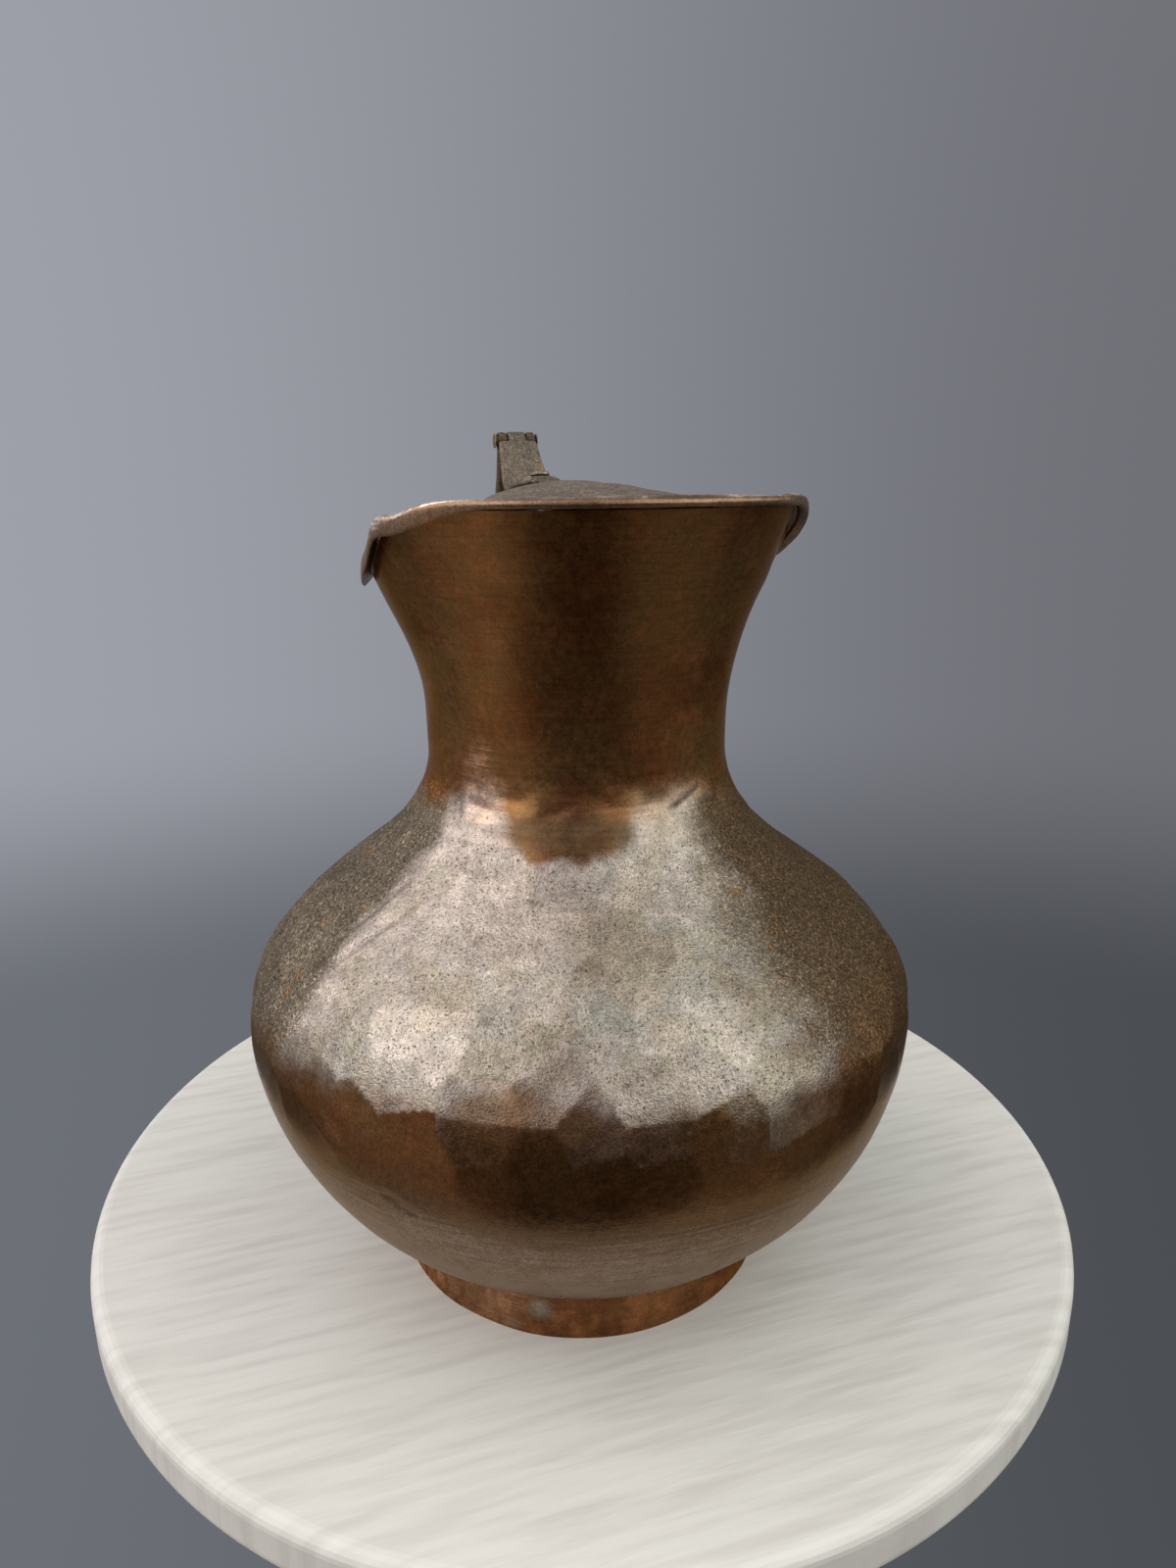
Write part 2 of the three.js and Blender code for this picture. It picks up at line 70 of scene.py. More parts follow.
def addCamera(shot):
    heading, pitch, roll = (math.radians(shot[key]) for key in ("azimuth", "pitch", "roll"))
    right = Vector((math.cos(heading), math.sin(heading), 0))
    level = Vector((-math.sin(heading), math.cos(heading), 0))
    ahead = level * math.cos(pitch) - Vector((0, 0, math.sin(pitch)))
    up = right.cross(ahead)
    turnedRight = right * math.cos(roll) - up * math.sin(roll)
    turnedUp = right * math.sin(roll) + up * math.cos(roll)
    data = bpy.data.cameras.new("photoCamera")
    data.sensor_width = shot["sensor"]
    data.lens = data.sensor_width * shot["focalPixels"] / shot["pictureHeight"]
    data.shift_x = shot["centreShift"] / shot["pictureHeight"]
    data.clip_start = shot["clipStart"] * mm
    camera = linked("photoCamera", data)
    place = Matrix((turnedRight, turnedUp, -ahead)).transposed().to_4x4()
    place.translation = (-level * shot["distance"] + Vector((0, 0, shot["height"]))) * mm
    camera.matrix_world = place
    bpy.context.scene.camera = camera


addCamera(photoCamera)


def addNode(tree, kind, sockets=None, **settings):
    made = tree.nodes.new("ShaderNode" + kind)
    for setting, value in settings.items():
        setattr(made, setting, value)
    for socket, value in (sockets or {}).items():
        if isinstance(value, bpy.types.NodeSocket):
            tree.links.new(value, made.inputs[socket])
        else:
            made.inputs[socket].default_value = value
    return made


def maths(tree, operation, *values):
    return addNode(tree, "Math", dict(enumerate(values)), operation=operation).outputs[0]


def times(tree, *values):
    product = values[0]
    for value in values[1:]:
        product = maths(tree, "MULTIPLY", product, value)
    return product


def between(tree, share, low, high):
    return maths(tree, "MULTIPLY_ADD", share, high - low, low)


def ramp(tree, value, low, high, bottom=0.0, top=1.0):
    sockets = {"Value": value, "From Min": low, "From Max": high, "To Min": bottom, "To Max": top}
    return addNode(tree, "MapRange", sockets, interpolation_type="SMOOTHSTEP").outputs["Result"]


def noise(tree, vector, scale, fineness, rough=0.5):
    sockets = {"Vector": vector, "Scale": scale, "Detail": fineness, "Roughness": rough}
    return addNode(tree, "TexNoise", sockets).outputs["Fac"]


def mixed(tree, share, first, second):
    first, second = ((*colour, 1) if isinstance(colour, tuple) else colour for colour in (first, second))
    return addNode(tree, "MixRGB", {"Fac": share, "Color1": first, "Color2": second}).outputs["Color"]


def scaled(tree, colour, tone):
    return addNode(tree, "VectorMath", {0: colour, "Scale": tone}, operation="SCALE").outputs[0]


studio = {
    # Rise is the sine over the horizon, and across the cosine to the right as the camera sees it.
    # Towards is the cosine to the camera's side, and facing is the same of the level direction.
    "azimuth": -17.5,        # the side that the camera stands on
    "skyTurn": -3.0,         # how far the window light is turned from there
    "skyReach": (-0.46, -0.30),  # how far it goes round behind
    "skyLevel": 2.45,
    "skyTint": (1.03, 0.995, 0.965),
    "skyTintRight": (0.98, 1.0, 0.94),
    "tintAcross": (-0.3, 0.5),
    "skyClouds": 0.34,       # unevenness of the light
    "cloudScale": 2.6,
    "cloudDetail": 2.0,
    "cloudRange": (0.34, 0.66),
    "skyEdge": 0.24,         # rise of the window's lower edge
    "edgeSoft": 0.03,
    "skyNotch": 0.13,        # how much higher that edge is in the middle
    "notchFacing": (0.80, 0.97),
    "skyDrop": 0.16,         # how much lower it is on the right
    "dropAcross": (0.45, 0.75),
    "sideFall": 0.20,        # how much dimmer the light is on the right than the left
    "skyFall": 0.30,         # how much dimmer the light is overhead
    "fallRise": (0.55, 0.97),
    "overhead": 0.50,        # darkness overhead, before the camera
    "overheadAcross": (0.34, 0.10),
    "overheadRise": (0.70, 0.90),
    "shade": 0.80,           # darkness of the strip before the camera
    "shadeFacing": (0.93, 0.86),  # its edge, low and high
    "shadeRise": (0.35, 0.70),
    "shadeSoft": 0.045,
    "shadeEnd": (0.95, 0.78),
    "wallTop": (0.252, 0.260, 0.292),
    "wallBottom": (0.112, 0.120, 0.136),
    "wallRise": (-0.42, -0.20),
    "wallFall": 0.75,        # how much darker the wall is on the right than the left
    "wallAcross": (-0.55, 0.55),
    "groundFront": (0.022, 0.016, 0.012),
    "groundSide": (0.350, 0.300, 0.248),
    "groundFacing": (0.56, 0.98),
    "groundTones": (1.35, 0.55),  # on the left and on the right
    "groundAcross": (-0.8, 0.8),
    "groundTowards": (-0.25, 0.1),  # where it takes over from the wall
    "groundRise": (0.08, -0.12),
}


def lightStudio(look):
    world = bpy.data.worlds.new("studio")
    bpy.context.scene.world = world
    world.use_nodes = True
    tree = world.node_tree
    background = tree.nodes["Background"]
    heading = math.radians(look["azimuth"])
    skyHeading = math.radians(look["azimuth"] + look["skyTurn"])
    direction = addNode(tree, "TexCoord").outputs["Generated"]

    def along(axis):
        return addNode(tree, "VectorMath", {0: direction, 1: axis}, operation="DOT_PRODUCT").outputs["Value"]

    towards = along((math.sin(heading), -math.cos(heading), 0))
    skyward = along((math.sin(skyHeading), -math.cos(skyHeading), 0))
    across = along((math.cos(heading), math.sin(heading), 0))
    rise = addNode(tree, "SeparateXYZ", {0: direction}).outputs["Z"]
    level = maths(tree, "SUBTRACT", 1.0, maths(tree, "POWER", rise, 2.0))
    level = maths(tree, "SQRT", maths(tree, "MAXIMUM", level, 0.0001))
    facing = maths(tree, "DIVIDE", towards, level)

    edge = ramp(tree, facing, *look["notchFacing"], look["skyEdge"], look["skyEdge"] + look["skyNotch"])
    edge = maths(tree, "SUBTRACT", edge, ramp(tree, across, *look["dropAcross"], 0.0, look["skyDrop"]))
    shadeEdge = maths(tree, "SUBTRACT", facing, ramp(tree, rise, *look["shadeRise"], *look["shadeFacing"]))
    shade = times(tree, ramp(tree, shadeEdge, 0.0, look["shadeSoft"]), ramp(tree, rise, *look["shadeEnd"]))
    over = ramp(tree, maths(tree, "ABSOLUTE", across), *look["overheadAcross"])
    over = times(tree, over, ramp(tree, rise, *look["overheadRise"]))
    sky = times(
        tree,
        ramp(tree, maths(tree, "SUBTRACT", rise, edge), 0.0, look["edgeSoft"]),
        ramp(tree, skyward, *look["skyReach"]),
        between(tree, shade, 1.0, 1 - look["shade"]),
        between(tree, over, 1.0, 1 - look["overhead"]),
    )
    clouds = noise(tree, direction, look["cloudScale"], look["cloudDetail"])
    half = look["skyClouds"] / 2
    skyLevel = times(
        tree,
        between(tree, across, 1.0, 1 - look["sideFall"]),
        ramp(tree, rise, *look["fallRise"], 1.0, 1 - look["skyFall"]),
        ramp(tree, clouds, *look["cloudRange"], 1 - half, 1 + half),
        look["skyLevel"],
    )
    skyTint = mixed(tree, ramp(tree, across, *look["tintAcross"]), look["skyTint"], look["skyTintRight"])

    half = look["wallFall"] / 2
    wall = mixed(tree, ramp(tree, rise, *look["wallRise"]), look["wallBottom"], look["wallTop"])
    wall = scaled(tree, wall, ramp(tree, across, *look["wallAcross"], 1 + half, 1 - half))
    ground = mixed(tree, ramp(tree, facing, *look["groundFacing"]), look["groundSide"], look["groundFront"])
    ground = scaled(tree, ground, ramp(tree, across, *look["groundAcross"], *look["groundTones"]))
    onGround = times(tree, ramp(tree, towards, *look["groundTowards"]), ramp(tree, rise, *look["groundRise"]))
    light = mixed(tree, sky, mixed(tree, onGround, wall, ground), skyTint)
    tree.links.new(light, background.inputs["Color"])
    tree.links.new(ramp(tree, sky, 0.0, 1.0, 1.0, skyLevel), background.inputs["Strength"])
    bpy.context.scene.view_settings.view_transform = "Standard"


lightStudio(studio)

floor = {
    "radius": 124.0,
    "thickness": 12.0,
    "edgeRound": 3.0,
    "edgeSteps": 5,
    "behind": 28.0,          # its middle, behind the jug's axis as the camera sees it
    "colour": (0.66, 0.645, 0.61),
    "streak": (0.50, 0.48, 0.45),
    "streakShare": 0.6,
    "streakRange": (0.35, 0.75),
    "streakTurn": 0.6,       # radians
    "streakScale": (40.0, 420.0, 40.0),  # how many to a metre along, across and up
    "streakDetail": 5.0,
    "relief": 0.3,
    "reliefStrength": 0.5,
    "rough": 0.6,
}


def addFloor(look):
    heading = math.radians(photoCamera["azimuth"])
    middle = Vector((-math.sin(heading), math.cos(heading), 0)) * look["behind"] * mm
    middle.z = -look["thickness"] / 2 * mm
    bpy.ops.mesh.primitive_cylinder_add(
        vertices=256, radius=look["radius"] * mm, depth=look["thickness"] * mm, location=middle
    )
    piece = bpy.context.object
    piece.name = "paleFloor"
    rounding = piece.modifiers.new("roundedEdge", "BEVEL")
    rounding.width = look["edgeRound"] * mm
    rounding.segments = look["edgeSteps"]
    rounding.limit_method = "ANGLE"
    material = bpy.data.materials.new("palePaint")
    material.use_nodes = True
    tree = material.node_tree
    shader = tree.nodes["Principled BSDF"]
    shader.inputs["Roughness"].default_value = look["rough"]
    place = addNode(tree, "TexCoord").outputs["Object"]
    sockets = {"Vector": place, "Rotation": (0, 0, look["streakTurn"]), "Scale": look["streakScale"]}
    brushed = addNode(tree, "Mapping", sockets).outputs["Vector"]
    streaks = noise(tree, brushed, 1.0, look["streakDetail"])
    share = ramp(tree, streaks, *look["streakRange"], 0.0, look["streakShare"])
    tree.links.new(mixed(tree, share, look["colour"], look["streak"]), shader.inputs["Base Color"])
    sockets = {"Height": streaks, "Distance": look["relief"] * mm, "Strength": look["reliefStrength"]}
    relief = addNode(tree, "Bump", sockets)
    tree.links.new(relief.outputs[0], shader.inputs["Normal"])
    piece.data.materials.append(material)


addFloor(floor)

print("outlines")

jug = {
    # The sizes of the solids. A lead is how far a curve keeps to its slope at that end.
    "sheet": 1.4,
    "footSheet": 1.6,
    "lidSheet": 1.2,
    "footRadius": 42.7,
    "footTopRadius": 40.9,
    "footHeight": 12.3,
    "footSeat": 0.5,         # of the belly's flat beyond the ring's edge
    "baseHeight": 5.8,
    "baseFlat": 20.0,
    "bellySlope": 19.0,      # where it leaves the foot ring
    "bellyLead": 16.8,
    "bellyRadius": 73.8,
    "bellyHeight": 62.7,
    "bellyFullness": 21.0,   # how far the curve keeps upright at the widest place
    "shoulderLead": 15.5,
    "seamRadius": 36.5,
    "seamHeight": 106.8,
    "seamSlope": 60.7,
    "neckLead": 2.6,
    "waistRadius": 32.0,
    "waistHeight": 120.5,
    "waistBelow": 7.3,       # how far the neck keeps upright below and above the waist
    "waistAbove": 20.6,
    "mouthSlope": (62.0, 67.0, 64.0),  # at the spout, at the low places and at the back
    "mouthLead": 13.2,
    "mouthRadius": (46.0, 41.2, 44.0),
    "mouthHeight": (169.3, 154.7, 167.0),
    "mouthLevel": 40.0,      # angle up to which the mouth is level at the spout
    "mouthLow": 105.0,       # angle of the low places
    "beadRadius": 1.15,
    "beadOverhang": (2.0, 2.7, 1.9),
    "seatGap": 0.3,
    "crownHeight": 174.3,
    "crownBack": 12.0,       # of the crown, behind the jug's axis
    "archRadius": 56.0,      # of the lid across and along its spine
    "spineRadius": 480.0,
    "lidFullness": 2.5,
}
curveSteps = 200
neckSteps = (60, 160)        # below the waist and above it


def cubic(p0, p1, p2, p3, count):
    t = np.linspace(0, 1, count)[:, None]
    return (1 - t) ** 3 * p0 + 3 * (1 - t) ** 2 * t * p1 + 3 * (1 - t) * t ** 2 * p2 + t ** 3 * p3


def evenly(points, count):
    steps = np.concatenate([[0], np.cumsum(np.hypot(*np.diff(points, axis=0).T))])
    wanted = np.linspace(0, steps[-1], count)
    return np.column_stack([np.interp(wanted, steps, points[:, k]) for k in (0, 1)])


def slope(degrees, length):
    return np.array([math.cos(math.radians(degrees)), math.sin(math.radians(degrees))]) * length


def outward(points):
    along = np.gradient(points, axis=0)
    along /= np.linalg.norm(along, axis=1)[:, None]
    return np.column_stack([along[:, 1], -along[:, 0]])


def smoothly(value, low, high):
    share = np.clip((value - low) / (high - low), 0, 1)
    return share * share * (3 - 2 * share)


seam = np.array([jug["seamRadius"], jug["seamHeight"]])
seatInner = np.array([jug["footTopRadius"] - jug["footSheet"] - jug["footSeat"], jug["footHeight"]])
seatOuter = np.array([jug["footTopRadius"] + jug["footSeat"], jug["footHeight"]])
widest = np.array([jug["bellyRadius"], jug["bellyHeight"]])
fullness = np.array([0, jug["bellyFullness"]])
bowlLine = cubic(
    np.array([0, jug["baseHeight"]]),
    np.array([jug["baseFlat"], jug["baseHeight"]]),
    seatInner - slope(jug["bellySlope"], jug["bellyLead"] / 2),
    seatInner,
    curveSteps,
)
lowerLine = cubic(
    seatOuter, seatOuter + slope(jug["bellySlope"], jug["bellyLead"]), widest - fullness, widest, curveSteps
)
shoulderLine = cubic(
    widest, widest + fullness, seam + slope(-jug["seamSlope"], jug["shoulderLead"]), seam, curveSteps
)
bellyLine = np.vstack([lowerLine, shoulderLine[1:]])


def saddle(values, degrees):
    front, low, back = values
    away = np.abs(degrees)
    end = np.where(away < jug["mouthLow"], front, back)
    reach = np.where(away < jug["mouthLow"], jug["mouthLevel"], 180.0)
    share = np.clip((away - jug["mouthLow"]) / (reach - jug["mouthLow"]), 0, 1)
    return low + (end - low) * (1 - np.cos(np.pi * share)) / 2


def neckLine(degrees, count):
    edge = np.array([saddle(jug["mouthRadius"], degrees), saddle(jug["mouthHeight"], degrees)])
    waist = np.array([jug["waistRadius"], jug["waistHeight"]])
    below = cubic(
        seam,
        seam + slope(180 - jug["seamSlope"], jug["neckLead"]),
        waist - [0, jug["waistBelow"]],
        waist,
        neckSteps[0],
    )
    above = cubic(
        waist,
        waist + [0, jug["waistAbove"]],
        edge - slope(float(saddle(jug["mouthSlope"], degrees)), jug["mouthLead"]),
        edge,
        neckSteps[1],
    )
    return evenly(np.vstack([below, above[1:]]), count)


def around(degrees, radius, height):
    turn = np.radians(degrees)
    return np.stack(np.broadcast_arrays(radius * np.sin(turn), -radius * np.cos(turn), height), axis=-1)


def bellyPlace(degrees, height):
    radius = np.interp(height, bellyLine[:, 1], bellyLine[:, 0])
    return around(np.asarray(degrees), radius, np.asarray(height))


print("hammer marks and dents")

hammering = {
    "seed": 7,
    "rowPitch": 9.0,         # between rings of hammer marks
    "markPitch": 11.5,       # between marks in a ring
    "fewest": 6,             # marks in a ring
    "stray": 0.34,           # how far a mark strays, as a share of the pitch
    "reach": 6.8,            # of one mark
    "ridge": 1.2,            # width of the ridge between two marks
    "depth": 0.38,
    "marksIn": (16, 30),     # heights between which the marks set in
    "lowShare": 0.12,        # how deep they are below the belly's widest part
    "fullFrom": (52, 66),
    "highLoss": 0.65,        # how much they lose towards the neck
    "lossFrom": (76, 96),
    "marksOut": (100, 108),
    "backShare": 0.1,        # what is left of all unevenness behind, under the handle
    "backReach": (8, 15),    # from the middle to both sides, where it comes back
}

unevenness = [
    # All over, round the root of the neck, and on the neck: with the heights between which it
    # sets in and between which it dies away.
    {"depth": 0.17, "length": 30.0, "setsIn": (14, 26), "diesAway": (140, 156)},
    {"depth": 0.15, "length": 7.0, "setsIn": (96, 104), "diesAway": (112, 122)},
    {"depth": 0.10, "length": 15.0, "setsIn": (108, 116), "diesAway": (146, 158)},
]

dents = [
    # Creases: from one place to another, each an angle and a height, and their depth and width.
    # A negative depth makes a ridge.
    ((-64, 103), (-71, 76), -0.50, 4.5),
    ((-60, 95.5), (-71, 81.0), 0.20, 1.0),
    ((-63, 93.0), (-70, 83.5), 0.16, 0.9),
    ((-66, 98.0), (-73, 87.0), 0.16, 1.0),
    ((-64, 87.5), (-72, 78.5), 0.16, 1.0),
    ((-46, 51.5), (-42, 48.8), 0.30, 1.1),
    ((-2, 107.6), (30, 115.0), 0.17, 0.8),
    ((6, 107.4), (20, 110.6), -0.10, 1.2),
    ((-34, 110.6), (-5, 118.4), 0.09, 0.8),
    ((-56, 113.5), (-40, 111.0), 0.18, 1.1),
    ((-70, 118.0), (-52, 116.5), 0.14, 1.0),
]

creasing = {
    "steps": 15,
    "neckOut": 1.5,          # of a crease on the neck, from the waist's radius
    "lipAt": 1.9,            # of the raised lip beside it, in widths
    "lipShare": 0.35,        # of the lip's height, in depths
}

swellings = [
    # An angle and a height, how far the place stands out, and its width.
    ((-106, 92), 1.3, 17.0),
    ((-50, 110.5), 0.40, 6.5),
    ((-14, 84), -0.30, 13.0),
]

marked = np.random.default_rng(hammering["seed"])


def hammerMarks(look):
    line = evenly(bellyLine, 2 * curveSteps)
    steps = np.concatenate([[0], np.cumsum(np.hypot(*np.diff(line, axis=0).T))])
    places = []
    for distance in np.arange(look["rowPitch"] / 2, steps[-1], look["rowPitch"]):
        radius = np.interp(distance, steps, line[:, 0])
        count = max(look["fewest"], round(2 * math.pi * radius / look["markPitch"]))
        for i in range(count):
            turn = 360 * (i + marked.uniform(-1, 1) * look["stray"] + marked.uniform(0, 1)) / count
            along = distance + marked.uniform(-1, 1) * look["stray"] * look["rowPitch"]
            r, z = (np.interp(along, steps, line[:, k]) for k in (0, 1))
            places.append(around(turn, r, z))
    tree = kdtree.KDTree(len(places))
    for i, place in enumerate(places):
        tree.insert(place, i)
    tree.balance()
    return tree


marks = hammerMarks(hammering)
waveCount = 14
waveStretch = (0.7, 1.6)
waveSeeds = [
    (marked.normal(size=3), marked.uniform(0, 2 * math.pi), marked.uniform(*waveStretch))
    for _ in range(waveCount)
]


def waves(points, length):
    total = np.zeros(points.shape[:-1])
    for direction, phase, stretch in waveSeeds:
        unit = direction / np.linalg.norm(direction)
        total += np.sin(points @ unit * 2 * math.pi / (length * stretch) + phase)
    return total / math.sqrt(len(waveSeeds))


def facets(points):
    flat = points.reshape(-1, 3)
    result = np.empty(len(flat))
    for i, point in enumerate(flat):
        (_, _, nearest), (_, _, second) = marks.find_n(point, 2)
        inside = 1 - (nearest / hammering["reach"]) ** 2
        border = 1 - ((nearest + second) / 2 / hammering["reach"]) ** 2
        sharp = min(1.0, (second - nearest) / hammering["ridge"])
        result[i] = -(inside * sharp + border * (1 - sharp))
    return result.reshape(points.shape[:-1])


def within(height, setsIn, diesAway):
    return smoothly(height, *setsIn) * (1 - smoothly(height, *diesAway))


def creaseDepth(points, start, end, depth, width):
    share = np.linspace(0, 1, creasing["steps"])
    turns, heights = (a + (b - a) * share for a, b in zip(start, end))
    onNeck = jug["waistRadius"] + creasing["neckOut"]
    radii = np.where(heights < jug["seamHeight"], -bellyPlace(0, heights)[..., 1], onNeck)
    line = around(turns, radii, heights)
    nearest = np.full(points.shape[:-1], np.inf)
    for a, b in zip(line[:-1], line[1:]):
        along = np.clip(((points - a) @ (b - a)) / ((b - a) @ (b - a)), 0, 1)
        nearest = np.minimum(nearest, np.linalg.norm(points - a - along[..., None] * (b - a), axis=-1))
    fold = np.exp(-((nearest / width) ** 2))
    lip = np.exp(-((nearest / width - creasing["lipAt"]) ** 2))
    return depth * (creasing["lipShare"] * lip - fold)


def beaten(points):
    look = hammering
    height = points[..., 2]
    strong = look["lowShare"] + (1 - look["lowShare"]) * smoothly(height, *look["fullFrom"])
    strong = strong * (1 - look["highLoss"] * smoothly(height, *look["lossFrom"]))
    strong = strong * within(height, look["marksIn"], look["marksOut"])
    depth = look["depth"] * facets(points) * strong
    for layer in unevenness:
        here = within(height, layer["setsIn"], layer["diesAway"])
        depth = depth + layer["depth"] * waves(points, layer["length"]) * here
    for crease in dents:
        depth = depth + creaseDepth(points, *crease)
    for place, rise, width in swellings:
        distance = np.linalg.norm(points - bellyPlace(*place), axis=-1)
        depth = depth + rise * np.exp(-((distance / width) ** 2))
    beside = smoothly(np.abs(points[..., 0]), *look["backReach"]) + (points[..., 1] < 0)
    return depth * np.clip(beside, look["backShare"], 1)


print("meshes")

grid = {
    # Numbers of points round the jug and along the lines of each piece.
    "columns": 640,
    "bellyRows": 200,
    "bowlRows": 16,
    "liningRows": 60,
    "neckRows": 110,
    "footRows": 16,
    "lidRows": 42,
    "rollRows": 19,
    "sharpAngle": 50.0,      # an edge over this stays sharp
}


def reworked(mesh, step):
    work = bmesh.new()
    work.from_mesh(mesh)
    step(work)
    work.to_mesh(mesh)
    work.free()


def gridMesh(name, rings, closed=False, ends=None):
    rows, columns = rings.shape[:2]
    points = rings.reshape(-1, 3)
    here = np.arange(rows * columns).reshape(rows, columns)
    below = here if closed else here[:-1]
    above = np.roll(here, -1, axis=0) if closed else here[1:]
    faces = np.stack(
        [below, np.roll(below, -1, axis=1), np.roll(above, -1, axis=1), above], axis=-1
    ).reshape(-1, 4).tolist()
    if ends is not None:
        first, last = len(points), len(points) + 1
        points = np.vstack([points, ends])
        for k in range(columns):
            after = (k + 1) % columns
            faces.append([first, int(here[0, after]), int(here[0, k])])
            faces.append([last, int(here[-1, k]), int(here[-1, after])])
    mesh = bpy.data.meshes.new(name)
    mesh.from_pydata((points * mm).tolist(), [], faces)
    reworked(mesh, lambda work: bmesh.ops.recalc_face_normals(work, faces=work.faces))
    mesh.polygons.foreach_set("use_smooth", [True] * len(mesh.polygons))
    mesh.set_sharp_from_angle(angle=math.radians(grid["sharpAngle"]))
    return linked(name, mesh)


def paint(piece, name, values):
    layer = piece.data.attributes.new(name, "FLOAT", "POINT")
    layer.data.foreach_set("value", np.clip(values, 0, 1).astype(np.float32))


def placesOf(piece):
    flat = np.empty(len(piece.data.vertices) * 3)
    piece.data.vertices.foreach_get("co", flat)
    return flat.reshape(-1, 3) / mm


turns = -180 + 360 * np.arange(grid["columns"]) / grid["columns"]


def turned(line):
    return around(turns, line[..., 0], line[..., 1])


def pushed(line, normals, shift):
    return line + normals * shift[..., None]


def bellyPiece():
    bowl, outside = evenly(bowlLine, grid["bowlRows"]), evenly(bellyLine, grid["bellyRows"])
    base, inner = bowl[1:-1], evenly(bellyLine, grid["liningRows"])
    skin = np.vstack([bowl[1:], outside])[:, None]
    normals = np.vstack([outward(bowl[1:]), outward(outside)])[:, None]
    outer = pushed(skin, normals, beaten(turned(skin)))
    lining = np.vstack([base, inner])[::-1][:, None]
    normals = np.vstack([outward(base), outward(inner)])[::-1][:, None]
    shift = beaten(turned(lining)) - jug["sheet"]
    inside = pushed(lining, normals, shift)
    cut = jug["sheet"] / math.sin(math.radians(jug["seamSlope"]))
    inside[0, :, 0] = lining[0, 0, 0] - cut + shift[0] + jug["sheet"]
    inside[0, :, 1] = lining[0, 0, 1]
    ends = [(0, 0, jug["baseHeight"]), (0, 0, jug["baseHeight"] + jug["sheet"])]
    return gridMesh("hammeredBelly", np.vstack([turned(outer), turned(inside)]), ends=ends)


mouthLook = {
    "edgeBand": 12.0,        # depth of the band that bends with the edge
    "edgeRise": 0.18,        # closes the gap under the lid's roll
    "pushIn": 1.5,           # how far the edge is pushed in on the right
    "pushAt": 60.0,
    "pushWide": 9.0,
    "cornerAt": -69.0,       # the bent corner of the mouth on the left
    "cornerWide": 6.5,
    "cornerRise": 2.1,
    "cornerOut": 0.5,
}


def corner(degrees):
    return np.exp(-(((degrees - mouthLook["cornerAt"]) / mouthLook["cornerWide"]) ** 2))


def neckPiece(look):
    lines = np.stack([neckLine(turn, grid["neckRows"]) for turn in turns], axis=1)
    edge = lines[-1, :, 1]
    nearEdge = smoothly(lines[..., 1], edge - look["edgeBand"], edge)
    bent = corner(turns)
    dented = look["pushIn"] * np.exp(-(((turns - look["pushAt"]) / look["pushWide"]) ** 2))
    lines[..., 0] += nearEdge * (look["cornerOut"] * bent - dented)
    lines[..., 1] += nearEdge * (look["cornerRise"] * bent + look["edgeRise"])
    normals = np.stack([outward(lines[:, k]) for k in range(len(turns))], axis=1)
    outer = pushed(lines, normals, beaten(turned(lines)))
    lining = lines[::-2]
    inside = pushed(lining, normals[::-2], beaten(turned(lining)) - jug["sheet"])
    inside[0, :, 1] = lines[-1, :, 1]
    return gridMesh("flaredNeck", np.vstack([turned(outer), turned(inside)]), closed=True)


footWobble = {
    "depth": 0.09,
    "length": 16.0,
    "sunk": 0.12,            # keeps the ring inside the solid
    "seam": 0.5,             # depth of the level band under the belly
}


def footPiece(look):
    edges = [[jug["footRadius"], 0], [jug["footTopRadius"], jug["footHeight"]]]
    outer = evenly(np.array(edges), grid["footRows"])
    inner = outer[::-1] - [jug["footSheet"], 0]
    loop = np.vstack([outer, inner])[:, None]
    wobble = waves(turned(loop), look["length"]) * look["depth"] - look["sunk"]
    level = loop[..., 1] > jug["footHeight"] - look["seam"]
    radii = loop[..., 0] + wobble * np.where(level, 0, 1)
    return gridMesh("footRing", around(turns, radii, loop[..., 1]), closed=True)


def beadLine(degrees):
    radius = saddle(jug["mouthRadius"], degrees) + saddle(jug["beadOverhang"], degrees) - jug["beadRadius"]
    height = saddle(jug["mouthHeight"], degrees) + jug["seatGap"] + jug["beadRadius"]
    return radius, height


def lidTop(degrees, share):
    radius, height = beadLine(degrees)
    x, y, _ = np.moveaxis(around(degrees, radius * share, 0.0), -1, 0)
    arch = jug["crownHeight"] - x ** 2 / (2 * jug["archRadius"])
    arch = arch - (y - jug["crownBack"]) ** 2 / (2 * jug["spineRadius"])
    ease = share ** jug["lidFullness"]
    return arch + (height + jug["beadRadius"] - arch) * ease


lidLook = {
    "lipDrop": 1.9,          # how far the roll hangs down outside the neck
    "lipLeft": (32, 54),     # angles between which that lip grows, left and right of the spout
    "lipRight": (20, 50),
    "lipRightShare": 0.35,
    "lipEnds": (100, 125),   # and between which it dies away
    "lipAngles": (45, 160),  # round the roll, where it begins and how far it goes
    "rollAngles": (90, 270),  # the same of the roll itself
    "frontThin": 0.28,       # how much thinner the roll is at the front
    "frontAt": -5,
    "frontWide": (30, 60),
    "rollWobble": 0.12,      # unevenness of the rolled edge
    "rollLength": 7.0,
    "beatDepth": 0.10,
    "beatLength": 9.0,
    "beatFrom": 0.1,         # share of the way out from the crown
    "cornerFrom": 0.75,      # the same, where the bent corner begins
}


